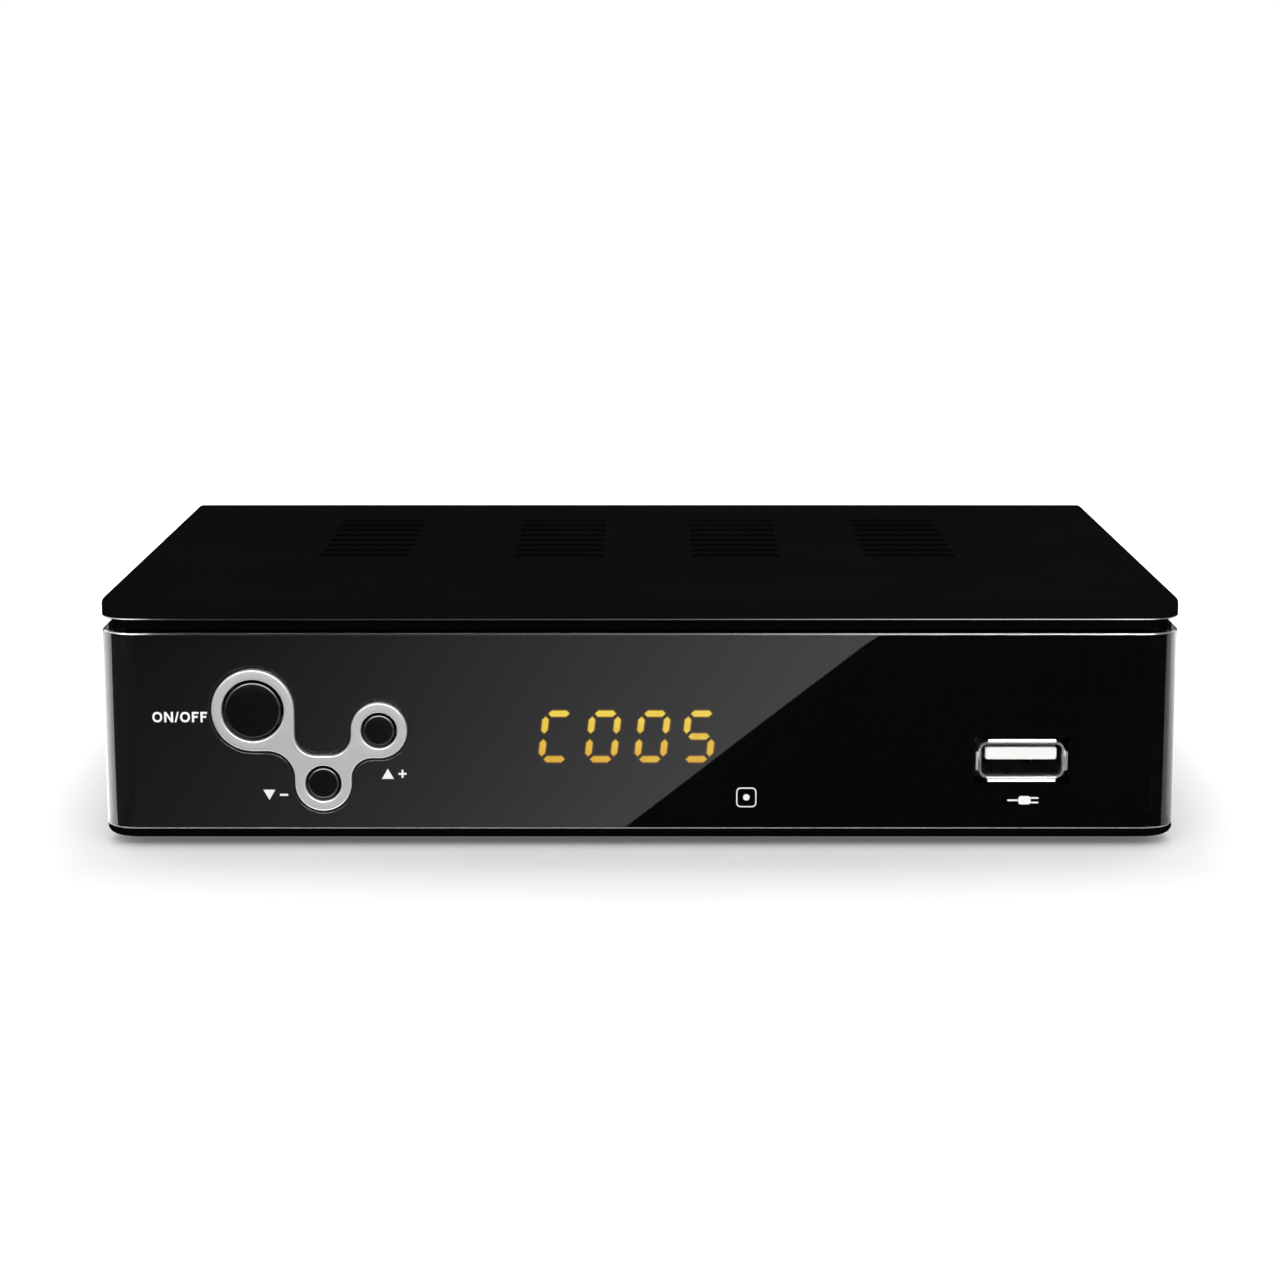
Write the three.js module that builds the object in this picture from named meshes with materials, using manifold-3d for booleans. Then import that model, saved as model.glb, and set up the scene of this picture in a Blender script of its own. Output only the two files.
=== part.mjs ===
// A small digital converter box: vented lid, base, wrap-round front window with
// buttons, display and USB socket, rear panel with its sockets, and the boards inside.
// Millimetres, +Z up. The front face looks along -Y and +X is to the viewer's right.
import * as THREE from 'three';
import { mergeVertices } from 'three/addons/utils/BufferGeometryUtils.js';
import Module from 'manifold-3d';

const wasm = await Module();
wasm.setup();

// Case, measured over the mouldings
const caseWidth = 165;
const caseDepth = 108;
const caseHeight = 38.5;
const frontCornerRadius = 5.5;
const rearCornerRadius = 1;
const smallestRadius = 0.2;
const footHeight = 1.5;
const footRadius = 5;
const baseWall = 2.6;
const floorThickness = 2;
const baseEdgeRadius = 1.1;
const baseLipHeight = 1.3;
const lidPlate = 1.8;
const lidSkirt = 1.2;
const lidEdgeHeight = 3.1;
const lidEdgeRadius = 1.2;
const lidLowerEdgeRadius = 0.4;
const grooveHeight = 1.85;

// Fits
const fitGap = 0.3;
const overrun = 2;

// Vent slots in the lid: groups from left to right, slots from front to back
const ventGroupShares = [-0.2776, -0.0815, 0.0976, 0.2721];
const ventSlots = 8;
const ventSlotLength = 14.7;
const ventSlotWidth = 3.9;
const ventSlotPitch = 5.9;
const ventCentreShare = 0.6165;

// Front window, and the frame behind it
const windowThickness = 2;
const windowEdgeRadius = 0.4;
const windowReturn = 10;
const frameThickness = 1.8;

// Buttons and their trim: the margin is taken from the left side, and the lower button's
// rise is a share of the window's height
const trimMargin = 17.15;
const lowerButtonShare = 0.2407;
const powerRingRadius = 6.3;
const powerHoleRadius = 4.75;
const powerCapRadius = 4.35;
const channelRingRadius = 4.3;
const channelHoleRadius = 2.76;
const channelCapRadius = 2.42;
const powerRingLift = 0.75;
const channelRingSink = 0.35;
const trimThickness = 0.6;
const trimEdge = 0.15;
const trimSleeveWall = 0.6;
const innerFilletShare = 0.37;
const outerFilletShare = 0.49;
const capBelowTrim = 0.15;
const capEdgeRadius = 0.5;
const buttonFlangeWidth = 1.2;
const buttonFlangeThickness = 0.7;
const stemRadius = 1.5;
const stemLength = 0.7;
const buttonTravel = 0.5;

// Display
const displayOffset = -2.2;
const displayRiseShare = 0.4683;
const displayWidth = 30.2;
const displayHeight = 14;
const digitCount = 4;
const digitPitch = 7.4;
const digitHeight = 8.1;
const digitWidth = 5.4;
const digitSlant = 0.117;
const segmentWidth = 1;
const segmentGap = 0.3;
const segmentRelief = 0.8;
const diffuserThickness = 1;
const diffuserBorder = 2;

// Infrared receiver
const receiverOffset = 18.5;
const receiverRiseShare = 0.1658;
const receiverWidth = 5;
const receiverHeight = 5.6;
const receiverDepth = 2.4;
const receiverLensRadius = 1.7;

// USB socket
const usbMargin = 24.1;
const usbRise = 10.9;
const usbOpeningWidth = 12.35;
const usbOpeningHeight = 4.9;
const usbCornerRadius = 0.9;
const usbSheet = 0.35;
const usbLength = 14;
const usbProud = 0.3;
const usbFlareReach = 0.55;
const usbFlareDepth = 0.9;
const usbLongFlapShare = 0.87;
const usbShortFlapShare = 0.68;
const usbTongueWidth = 10.95;
const usbTongueHeight = 1.95;
const usbTongueSetback = 1.4;
const usbTongueRise = 0.85;
const usbBackWall = 1.2;

// Boards
const boardThickness = 1.6;
const boardGap = 5;
const boardSideGap = 4;
const mainBoardFront = 12.4;
const usbShelfWidth = 19;
const usbShelfFront = 5.2;
const standoffRadius = 3;
const standoffInset = 10;
const rearStandoffInset = 36.4;

// Screw posts
const postRadius = 3.6;
const postSideInset = 9;
const frontPostPlace = 17;
const rearPostInset = 20;
const screwRadius = 1.4;
const screwGap = 0.3;
const screwHeadRadius = 2.8;
const screwHeadHeight = 1.8;
const screwRecess = 4;

// Rear panel
const panelThickness = 1.6;
const rearRib = 1.1;
const rearRibDepth = 1.7;

// Facet counts
const frontCornerSteps = 7;
const rearCornerSteps = 2;
const edgeSteps = 4;
const fineEdgeSteps = 2;
const roundSides = 32;
const smallSides = 12;
const buttonSides = 28;
const socketSides = 24;
const ringQuarterSteps = 8;
const filletSteps = 5;
const bendSteps = 5;

// Levels and places that follow from the sizes above
const halfWidth = caseWidth / 2;
const floorTop = footHeight + floorThickness;
const lipTop = footHeight + baseLipHeight;
const lidBottom = caseHeight - lidEdgeHeight;
const lidUnderside = caseHeight - lidPlate;
const bodyTop = lidBottom - grooveHeight;
const windowHeight = bodyTop - lipTop;
const tongueInset = lidSkirt + fitGap;
const tongueTop = lidUnderside - fitGap;
const frameFront = windowThickness + fitGap;
const frameBack = frameFront + frameThickness;

const powerX = trimMargin + powerRingRadius - halfWidth;
const downX = powerX + powerRingRadius + channelRingRadius;
const upX = downX + 2 * channelRingRadius;
const downZ = lipTop + lowerButtonShare * windowHeight;
const upZ = downZ + 2 * channelRingRadius - channelRingSink;
const powerZ = downZ + channelRingRadius + powerRingRadius + powerRingLift;
const flangeFront = frameBack + fitGap;
const flangeBack = flangeFront + buttonFlangeThickness;
const stemBack = flangeBack + stemLength;

const displayZ = lipTop + displayRiseShare * windowHeight;
const receiverX = displayOffset + receiverOffset;
const receiverZ = lipTop + receiverRiseShare * windowHeight;
const usbX = halfWidth - usbMargin;
const usbZ = lipTop + usbRise;
const usbOuterWidth = usbOpeningWidth + 2 * usbSheet;
const usbOuterHeight = usbOpeningHeight + 2 * usbSheet;

const mainBoardTop = usbZ - usbOuterHeight / 2;
const mainBoardBottom = mainBoardTop - boardThickness;
const boardHalfWidth = halfWidth - baseWall - boardSideGap;
const postX = halfWidth - postSideInset;
const postJoint = (floorTop + lidUnderside) / 2;
const panelBack = caseDepth - rearRib - fitGap;
const panelFront = panelBack - panelThickness;
const socketFace = panelFront - fitGap;
const mainBoardRear = socketFace - fitGap;

// Materials
function surface(color, roughness, metalness) {
  return new THREE.MeshStandardMaterial({ color, roughness, metalness });
}
const blackPlastic = surface(0x101011, 0.55, 0);
const glossBlack = surface(0x060607, 0.08, 0);
const smokedPlastic = surface(0x0b0b0c, 0.05, 0);
const satinSilver = surface(0xc8c8c8, 0.35, 0.9);
const displayBlack = surface(0x080808, 0.5, 0);
const litAmber = surface(0xf0c23c, 0.4, 0);
const steel = surface(0xc9cbcd, 0.25, 1);
const whitePlastic = surface(0xe8e8e4, 0.5, 0);
const boardGreen = surface(0x1d5a34, 0.5, 0);
const chipBlack = surface(0x151515, 0.6, 0);
const aluminium = surface(0xb4b6b8, 0.4, 1);
const canMetal = surface(0xb9bab8, 0.35, 1);
const capacitorSleeve = surface(0x1c2440, 0.35, 0);
const ribbonGrey = surface(0x9d9d9d, 0.6, 0);
const rubber = surface(0x1a1a1a, 0.9, 0);
const zincScrew = surface(0x8f9092, 0.3, 1);
const yellowPlastic = surface(0xe2b518, 0.4, 0);
const redPlastic = surface(0xb3231e, 0.4, 0);

// A three.js geometry becomes a solid that can be joined and cut
function solidOf(geometry) {
  const bare = geometry.clone();
  bare.deleteAttribute('normal');
  bare.deleteAttribute('uv');
  const merged = mergeVertices(bare);
  const points = merged.attributes.position.array;
  const index = merged.index.array;
  const faces = [];
  let volume = 0;
  for (let i = 0; i < index.length; i += 3) {
    const [a, b, c] = [index[i], index[i + 1], index[i + 2]];
    if (a === b || b === c || c === a) continue;
    faces.push(a, b, c);
    const [ax, ay, az] = points.slice(3 * a, 3 * a + 3);
    const [bx, by, bz] = points.slice(3 * b, 3 * b + 3);
    const [cx, cy, cz] = points.slice(3 * c, 3 * c + 3);
    volume += ax * (by * cz - bz * cy) + ay * (bz * cx - bx * cz) + az * (bx * cy - by * cx);
  }
  if (volume < 0) faces.reverse();
  const triVerts = new Uint32Array(faces);
  const vertProperties = new Float32Array(points);
  return new wasm.Manifold(new wasm.Mesh({ numProp: 3, vertProperties, triVerts }));
}

const unit = new THREE.Group();

// A finished solid becomes a named mesh in the unit or in one of its groups
function addPiece(name, solid, material, parent = unit) {
  const { numProp, vertProperties, triVerts } = solid.getMesh();
  const geometry = new THREE.BufferGeometry();
  geometry.setAttribute('position', new THREE.BufferAttribute(vertProperties, numProp));
  geometry.setIndex(new THREE.BufferAttribute(triVerts, 1));
  geometry.computeVertexNormals();
  const mesh = new THREE.Mesh(geometry, material);
  mesh.name = name;
  parent.add(mesh);
  return mesh;
}

// A group holds what sits at one place
function groupAt(x, y, z) {
  const group = new THREE.Group();
  group.position.set(x, y, z);
  unit.add(group);
  return group;
}

function joined(solids) {
  return solids.reduce((sum, solid) => sum.add(solid));
}

// A block between two opposite corners
function block(xLow, xHigh, yLow, yHigh, zLow, zHigh) {
  const geometry = new THREE.BoxGeometry(xHigh - xLow, yHigh - yLow, zHigh - zLow);
  geometry.translate((xLow + xHigh) / 2, (yLow + yHigh) / 2, (zLow + zHigh) / 2);
  return solidOf(geometry);
}

// A round bar along Z, and one along Y
function barZ(radius, x, y, zLow, zHigh, sides = smallSides) {
  const geometry = new THREE.CylinderGeometry(radius, radius, zHigh - zLow, sides);
  geometry.rotateX(Math.PI / 2);
  geometry.translate(x, y, (zLow + zHigh) / 2);
  return solidOf(geometry);
}
function barY(radius, x, z, yLow, yHigh, sides = roundSides) {
  const geometry = new THREE.CylinderGeometry(radius, radius, yHigh - yLow, sides);
  geometry.translate(x, (yLow + yHigh) / 2, z);
  return solidOf(geometry);
}

// A turned piece about the Y axis, from its half profile of radius and depth, and one
// about the Z axis, from its half profile of radius and height
function turned(profile, sides) {
  const points = profile.map(([radius, y]) => new THREE.Vector2(radius, y));
  return solidOf(new THREE.LatheGeometry(points, sides));
}
function turnedUpright(profile) {
  const points = profile.map(([radius, z]) => new THREE.Vector2(radius, z));
  const geometry = new THREE.LatheGeometry(points, smallSides);
  geometry.rotateX(Math.PI / 2);
  return solidOf(geometry);
}

// A flat outline drawn in X and Z, made as thick as the gap between two depths in Y
function slabXZ(shape, yLow, yHigh) {
  const geometry = new THREE.ExtrudeGeometry(shape, { depth: yHigh - yLow, bevelEnabled: false });
  geometry.rotateX(Math.PI / 2);
  geometry.translate(0, yHigh, 0);
  return solidOf(geometry);
}

// Points along an arc from one quarter turn to another, with some steps in each quarter
function arc(x, y, radius, from, to, quarterSteps) {
  const steps = Math.round(Math.abs(to - from) * quarterSteps);
  return Array.from({ length: steps + 1 }, (_, i) => {
    const angle = (Math.PI / 2) * (from + ((to - from) * i) / steps);
    return new THREE.Vector2(x + radius * Math.cos(angle), y + radius * Math.sin(angle));
  });
}

// A rectangle with rounded corners, centred on its own origin
function roundedRectangle(width, height, radius) {
  const [x, y] = [width / 2 - radius, height / 2 - radius];
  return new THREE.Shape([
    ...arc(x, y, radius, 0, 1, bendSteps),
    ...arc(-x, y, radius, 1, 2, bendSteps),
    ...arc(-x, -y, radius, 2, 3, bendSteps),
    ...arc(x, -y, radius, 3, 4, bendSteps),
  ]);
}

// The case's plan outline, drawn in by an inset, with its rear edge at a given depth
function planOutline(inset, rear) {
  const side = halfWidth - inset;
  const front = Math.max(frontCornerRadius - inset, smallestRadius);
  const back = Math.max(rearCornerRadius - inset, smallestRadius);
  return [
    ...arc(side - front, inset + front, front, -1, 0, frontCornerSteps),
    ...arc(side - back, rear - back, back, 0, 1, rearCornerSteps),
    ...arc(back - side, rear - back, back, 1, 2, rearCornerSteps),
    ...arc(front - side, inset + front, front, 2, 3, frontCornerSteps),
  ];
}

// A solid through plan outlines stacked at rising levels
function stacked(levels, rearOf = (inset) => caseDepth - inset) {
  const rings = levels.map(({ inset }) => planOutline(inset, rearOf(inset)));
  const count = rings[0].length;
  const positions = rings.flatMap((ring, i) => ring.flatMap((p) => [p.x, p.y, levels[i].z]));
  const faces = [];
  const last = count * (rings.length - 1);
  for (let level = 0; level < rings.length - 1; level += 1) {
    for (let i = 0; i < count; i += 1) {
      const a = level * count + i;
      const b = level * count + ((i + 1) % count);
      faces.push(a, b, b + count, a, b + count, a + count);
    }
  }
  for (let i = 1; i < count - 1; i += 1) {
    faces.push(0, i + 1, i, last, last + i, last + i + 1);
  }
  const geometry = new THREE.BufferGeometry();
  geometry.setAttribute('position', new THREE.Float32BufferAttribute(positions, 3));
  geometry.setIndex(faces);
  return solidOf(geometry);
}

// Levels that round an edge off: below the body and above it
function lowerEdge(radius, z, steps) {
  return Array.from({ length: steps + 1 }, (_, i) => {
    const angle = (Math.PI / 2) * (i / steps);
    return { inset: radius * (1 - Math.sin(angle)), z: z + radius * (1 - Math.cos(angle)) };
  });
}
function upperEdge(radius, z, steps) {
  return Array.from({ length: steps + 1 }, (_, i) => {
    const angle = (Math.PI / 2) * (i / steps);
    return { inset: radius * (1 - Math.cos(angle)), z: z - radius * (1 - Math.sin(angle)) };
  });
}

// The four corner places where posts, screws and feet stand
const postPlaces = [frontPostPlace, caseDepth - rearPostInset].flatMap((y) => [
  [-postX, y],
  [postX, y],
]);
const standoffX = boardHalfWidth - standoffInset;
const standoffPlaces = [
  [-standoffX, mainBoardFront + standoffInset],
  [standoffX, mainBoardFront + standoffInset],
  [-standoffX, mainBoardRear - rearStandoffInset],
  [standoffX, mainBoardRear - rearStandoffInset],
];

// Top cover: a shallow tray with a skirt, vent slots and four posts for the case screws
function topCover() {
  const outside = stacked(
    [
      ...lowerEdge(lidLowerEdgeRadius, lidBottom, fineEdgeSteps),
      ...upperEdge(lidEdgeRadius, caseHeight, edgeSteps),
    ],
    (inset) => caseDepth + lidEdgeRadius + overrun - inset,
  );
  const beyondRear = block(
    -caseWidth, caseWidth, caseDepth, caseDepth + caseWidth, lidBottom - overrun, caseHeight + overrun,
  );
  const inside = stacked([
    { inset: lidSkirt, z: lidBottom - overrun },
    { inset: lidSkirt, z: lidUnderside },
  ]);
  const slots = [];
  for (const share of ventGroupShares) {
    const x = share * caseWidth;
    for (let slot = 0; slot < ventSlots; slot += 1) {
      const y = ventCentreShare * caseDepth + (slot - (ventSlots - 1) / 2) * ventSlotPitch;
      slots.push(block(
        x - ventSlotLength / 2, x + ventSlotLength / 2,
        y - ventSlotWidth / 2, y + ventSlotWidth / 2,
        lidUnderside - overrun, caseHeight + overrun,
      ));
    }
  }
  const posts = postPlaces.map(([x, y]) => barZ(postRadius, x, y, postJoint, lidUnderside + lidPlate / 2));
  const pilots = postPlaces.map(([x, y]) => (
    barZ(screwRadius + screwGap, x, y, postJoint - overrun, lidUnderside - overrun)
  ));
  const tray = outside.subtract(beyondRear).subtract(inside).subtract(joined(slots));
  return tray.add(joined(posts)).subtract(joined(pilots));
}

// Bottom cover: floor, side walls with a tongue inside the lid's skirt, ribs that hold
// the rear panel, four screw posts and four standoffs for the main board
const floorVentSlots = 6;
const floorVentLength = 26;
const floorVentWidth = 2.4;
const floorVentPitch = 6;
const floorVentSide = 34;
function bottomCover() {
  const outside = stacked([
    ...lowerEdge(baseEdgeRadius, footHeight, edgeSteps),
    ...upperEdge(windowEdgeRadius, bodyTop, fineEdgeSteps),
  ]);
  const tongue = stacked([
    { inset: tongueInset, z: lipTop },
    { inset: tongueInset, z: tongueTop },
  ]);
  const inside = stacked(
    [
      { inset: baseWall, z: floorTop },
      { inset: baseWall, z: caseHeight },
    ],
    () => caseDepth + overrun,
  );
  const windowSeat = stacked([
    { inset: -overrun, z: lipTop },
    { inset: -overrun, z: caseHeight },
  ]).subtract(stacked([
    { inset: windowThickness + fitGap, z: lipTop - overrun },
    { inset: windowThickness + fitGap, z: caseHeight + overrun },
  ]));
  const seatEnd = windowReturn + fitGap;
  const frontPart = block(-caseWidth, caseWidth, -overrun, seatEnd, lipTop - overrun, caseHeight + overrun);
  const aboveFloor = block(-caseWidth, caseWidth, -overrun, seatEnd, floorTop, caseHeight + overrun);
  const root = floorTop - floorThickness / 2;
  const ribs = [];
  for (const side of [-1, 1]) {
    const wallFace = side * (halfWidth - baseWall / 2);
    const ribFace = side * (halfWidth - baseWall - rearRibDepth);
    const [low, high] = [Math.min(wallFace, ribFace), Math.max(wallFace, ribFace)];
    ribs.push(block(low, high, socketFace - rearRib, socketFace, root, bodyTop));
    ribs.push(block(low, high, caseDepth - rearRib, caseDepth, root, bodyTop));
  }
  const posts = postPlaces.map(([x, y]) => barZ(postRadius, x, y, root, postJoint));
  const standoffs = standoffPlaces.map(([x, y]) => barZ(standoffRadius, x, y, root, mainBoardBottom));
  const postHoles = postPlaces.flatMap(([x, y]) => [
    barZ(screwRadius + screwGap, x, y, footHeight - overrun, postJoint + overrun),
    barZ(screwHeadRadius + screwGap, x, y, footHeight - overrun, footHeight + screwRecess),
  ]);
  const pilots = standoffPlaces.map(([x, y]) => (
    barZ(screwRadius + screwGap, x, y, floorTop, mainBoardBottom + overrun)
  ));
  const slots = [];
  for (const side of [-1, 1]) {
    for (let slot = 0; slot < floorVentSlots; slot += 1) {
      const x = side * floorVentSide;
      const y = caseDepth / 2 + (slot - (floorVentSlots - 1) / 2) * floorVentPitch;
      slots.push(block(
        x - floorVentLength / 2, x + floorVentLength / 2,
        y - floorVentWidth / 2, y + floorVentWidth / 2,
        footHeight - overrun, floorTop + overrun,
      ));
    }
  }
  return outside.add(tongue).subtract(inside)
    .subtract(windowSeat.intersect(frontPart))
    .subtract(aboveFloor)
    .add(joined(ribs)).add(joined(posts)).add(joined(standoffs))
    .subtract(joined(postHoles)).subtract(joined(pilots)).subtract(joined(slots));
}

// Front window: a glossy moulding across the front that wraps round both corners
const usbCutGap = 0.25;
const usbCutWidth = usbOuterWidth + 2 * (usbFlareReach + usbCutGap);
const usbCutHeight = usbOuterHeight + 2 * (usbFlareReach + usbCutGap);
const buttonPlaces = [
  { name: 'power', x: powerX, z: powerZ, hole: powerHoleRadius, cap: powerCapRadius },
  { name: 'channel_down', x: downX, z: downZ, hole: channelHoleRadius, cap: channelCapRadius },
  { name: 'channel_up', x: upX, z: upZ, hole: channelHoleRadius, cap: channelCapRadius },
];
function usbCut(yLow, yHigh) {
  return block(
    usbX - usbCutWidth / 2, usbX + usbCutWidth / 2, yLow, yHigh,
    usbZ - usbCutHeight / 2, usbZ + usbCutHeight / 2,
  );
}
function frontWindow() {
  const outside = stacked([
    ...lowerEdge(windowEdgeRadius, lipTop, fineEdgeSteps),
    ...upperEdge(windowEdgeRadius, bodyTop, fineEdgeSteps),
  ]);
  const inside = stacked([
    { inset: windowThickness, z: lipTop - overrun },
    { inset: windowThickness, z: bodyTop + overrun },
  ]);
  const front = block(-caseWidth, caseWidth, -overrun, windowReturn, lipTop - overrun, bodyTop + overrun);
  const holes = buttonPlaces.map(({ x, z, hole }) => (
    barY(hole + trimSleeveWall + fitGap, x, z, -overrun, windowThickness + overrun)
  ));
  return outside.subtract(inside).intersect(front)
    .subtract(joined(holes))
    .subtract(usbCut(-overrun, windowThickness + overrun));
}

// Front frame: the black carrier behind the window. Its lip closes the groove under the
// lid, its four stakes hold the front board, and it stands on the floor of the base
const frontBoardLeft = powerX - powerRingRadius - boardGap;
const frontBoardTail = 15;
const frontBoardRight = receiverX + receiverWidth / 2 + frontBoardTail;
const frontBoardBottom = lipTop + fitGap + boardGap / 2;
const frontBoardTop = bodyTop - boardGap / 2;
const frontBoardFront = frameBack + boardGap;
const frontBoardBack = frontBoardFront + boardThickness;
const stakeRadius = 2.2;
const stakePinRadius = 0.9;
const stakeInset = 3.2;
const stakePlaces = [frontBoardLeft + stakeInset, frontBoardRight - stakeInset].flatMap((x) => [
  [x, frontBoardBottom + stakeInset],
  [x, frontBoardTop - stakeInset],
]);
const displayCutGap = 0.4;
const receiverCutGap = 0.45;
const receiverCutRadius = receiverLensRadius + receiverCutGap;
function frontFrame() {
  const frameSide = halfWidth - frontCornerRadius - fitGap;
  const plate = block(-frameSide, frameSide, frameFront, frameBack, floorTop, tongueTop);
  const lip = stacked([
    { inset: tongueInset, z: bodyTop + fitGap },
    { inset: tongueInset, z: tongueTop },
  ]).subtract(stacked([
    { inset: baseWall, z: bodyTop - overrun },
    { inset: baseWall, z: caseHeight },
  ]));
  const front = block(-caseWidth, caseWidth, 0, windowReturn, bodyTop - overrun, caseHeight);
  const holes = buttonPlaces.map(({ x, z, cap }) => (
    barY(cap + fitGap, x, z, frameFront - overrun, frameBack + overrun)
  ));
  const displayCut = block(
    displayOffset - displayWidth / 2 - displayCutGap, displayOffset + displayWidth / 2 + displayCutGap,
    frameFront - overrun, frameBack + overrun,
    displayZ - displayHeight / 2 - displayCutGap, displayZ + displayHeight / 2 + displayCutGap,
  );
  const receiverCut = barY(
    receiverCutRadius, receiverX, receiverZ, frameFront - overrun, frameBack + overrun, smallSides,
  );
  const stakes = stakePlaces.flatMap(([x, z]) => [
    barY(stakeRadius, x, z, frameBack - frameThickness / 2, frontBoardFront, smallSides),
    barY(stakePinRadius, x, z, frameBack, frontBoardBack + boardThickness / 2, smallSides),
  ]);
  return plate.add(lip.intersect(front))
    .subtract(joined(holes)).subtract(displayCut).subtract(receiverCut)
    .subtract(usbCut(frameFront - overrun, frameBack + overrun))
    .add(joined(stakes));
}

// Button trim: three rings whose outline runs along their common tangents, with round
// fillets where the tangents meet, and a sleeve behind each ring through the window
function trimOutline() {
  const span = 2 * channelRingRadius;
  const inner = innerFilletShare * span;
  const outer = outerFilletShare * span;
  const [left, right] = [downX - channelRingRadius, downX + channelRingRadius];
  const webTop = downZ + channelRingRadius;
  const upBottom = upZ - channelRingRadius;
  const powerBottom = powerZ - powerRingRadius;
  return new THREE.Shape([
    ...arc(powerX, powerZ, powerRingRadius, 3, 0, ringQuarterSteps),
    ...arc(left + inner, webTop + inner, inner, 2, 3, filletSteps),
    ...arc(right - inner, webTop + inner, inner, 3, 4, filletSteps),
    ...arc(upX, upZ, channelRingRadius, 2, -1, ringQuarterSteps),
    ...arc(right + inner, upBottom - inner, inner, 1, 2, filletSteps),
    ...arc(downX, downZ, channelRingRadius, 0, -2, ringQuarterSteps),
    ...arc(left - outer, powerBottom - outer, outer, 0, 1, filletSteps),
  ]);
}
function buttonTrim() {
  const geometry = new THREE.ExtrudeGeometry(trimOutline(), {
    depth: trimThickness,
    bevelEnabled: true,
    bevelThickness: trimEdge,
    bevelSize: trimEdge,
    bevelOffset: -trimEdge,
    bevelSegments: 1,
  });
  geometry.rotateX(Math.PI / 2);
  geometry.translate(0, trimEdge, 0);
  const behindFace = block(powerX - caseWidth, caseWidth, 0, caseWidth, -caseHeight, 2 * caseHeight);
  const plate = solidOf(geometry).subtract(behindFace);
  const sleeves = buttonPlaces.map(({ x, z, hole }) => (
    barY(hole + trimSleeveWall, x, z, -trimThickness / 2, windowThickness)
  ));
  const holes = buttonPlaces.map(({ x, z, hole }) => (
    barY(hole, x, z, -trimThickness - overrun, windowThickness + overrun)
  ));
  return plate.add(joined(sleeves)).subtract(joined(holes));
}

// A button: cap with a rounded edge, a flange that stops behind the frame, and a stem
function button(cap) {
  const face = capBelowTrim - trimThickness;
  const edge = Array.from({ length: edgeSteps + 1 }, (_, i) => {
    const angle = (Math.PI / 2) * (i / edgeSteps);
    return [cap - capEdgeRadius * (1 - Math.sin(angle)), face + capEdgeRadius * (1 - Math.cos(angle))];
  });
  const flange = cap + buttonFlangeWidth;
  return turned([
    [0, face], ...edge, [cap, flangeFront], [flange, flangeFront], [flange, flangeBack],
    [stemRadius, flangeBack], [stemRadius, stemBack], [0, stemBack],
  ], buttonSides);
}

// A push switch on the front board: a square body with a bore, and its plunger
const switchSide = 6.2;
const contactGap = 0.1;
const plungerRadius = 1.65;
const plungerFront = stemBack + contactGap;
const switchFront = flangeBack + buttonTravel + fitGap;
const plungerBack = switchFront + 2 * fitGap + buttonTravel;
const boreBack = plungerBack + buttonTravel + fitGap;
function switchBody() {
  const half = switchSide / 2;
  const bore = barY(plungerRadius + fitGap, 0, 0, switchFront - overrun, boreBack, smallSides);
  return block(-half, half, switchFront, frontBoardFront, -half, half).subtract(bore);
}

// Display block: a black reflector with a window for each segment, and the diffuser
// behind it whose raised segments fill those windows
const displayFront = windowThickness + fitGap;
const diffuserBack = displayFront + segmentRelief + fitGap + diffuserThickness;
function segmentShape(length, width) {
  const half = length / 2;
  const point = width / 2;
  return new THREE.Shape([
    new THREE.Vector2(-half, 0), new THREE.Vector2(-half + point, -point),
    new THREE.Vector2(half - point, -point), new THREE.Vector2(half, 0),
    new THREE.Vector2(half - point, point), new THREE.Vector2(-half + point, point),
  ]);
}
function segmentBars(shrink, yLow, yHigh) {
  const across = digitWidth - segmentWidth - digitHeight * digitSlant;
  const half = (digitHeight - segmentWidth) / 2;
  const width = segmentWidth - 2 * shrink;
  const bars = [];
  for (let digit = 0; digit < digitCount; digit += 1) {
    const x = (digit - (digitCount - 1) / 2) * digitPitch;
    for (const row of [-1, 0, 1]) {
      bars.push({ x, z: row * half, length: across - segmentGap - 2 * shrink, upright: false });
    }
    for (const row of [-1, 1]) {
      for (const side of [-1, 1]) {
        const length = half - segmentGap - 2 * shrink;
        bars.push({ x: x + side * across / 2, z: row * half / 2, length, upright: true });
      }
    }
  }
  return bars.map(({ x, z, length, upright }) => {
    const geometry = new THREE.ExtrudeGeometry(segmentShape(length, width), {
      depth: yHigh - yLow,
      bevelEnabled: false,
    });
    if (upright) geometry.rotateZ(Math.PI / 2);
    geometry.translate(x, z, 0);
    geometry.rotateX(Math.PI / 2);
    geometry.translate(0, yHigh, 0);
    geometry.applyMatrix4(new THREE.Matrix4().makeShear(0, 0, 0, 0, digitSlant, 0));
    return solidOf(geometry);
  });
}
function displayHousing() {
  const [w, h] = [displayWidth / 2, displayHeight / 2];
  const body = block(-w, w, displayFront, frontBoardFront, -h, h);
  const pocket = block(
    diffuserBorder - w, w - diffuserBorder, displayFront + segmentRelief, frontBoardFront + overrun,
    diffuserBorder - h, h - diffuserBorder,
  );
  const windows = segmentBars(0, displayFront - overrun, displayFront + segmentRelief + overrun);
  return body.subtract(pocket).subtract(joined(windows));
}
function displaySegments() {
  const [w, h] = [displayWidth / 2 - diffuserBorder - fitGap, displayHeight / 2 - diffuserBorder - fitGap];
  const plateFront = displayFront + segmentRelief + contactGap;
  const plate = block(-w, w, plateFront, diffuserBack, -h, h);
  const raised = segmentBars(contactGap, displayFront + contactGap, plateFront + diffuserThickness / 2);
  return plate.add(joined(raised));
}

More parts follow.
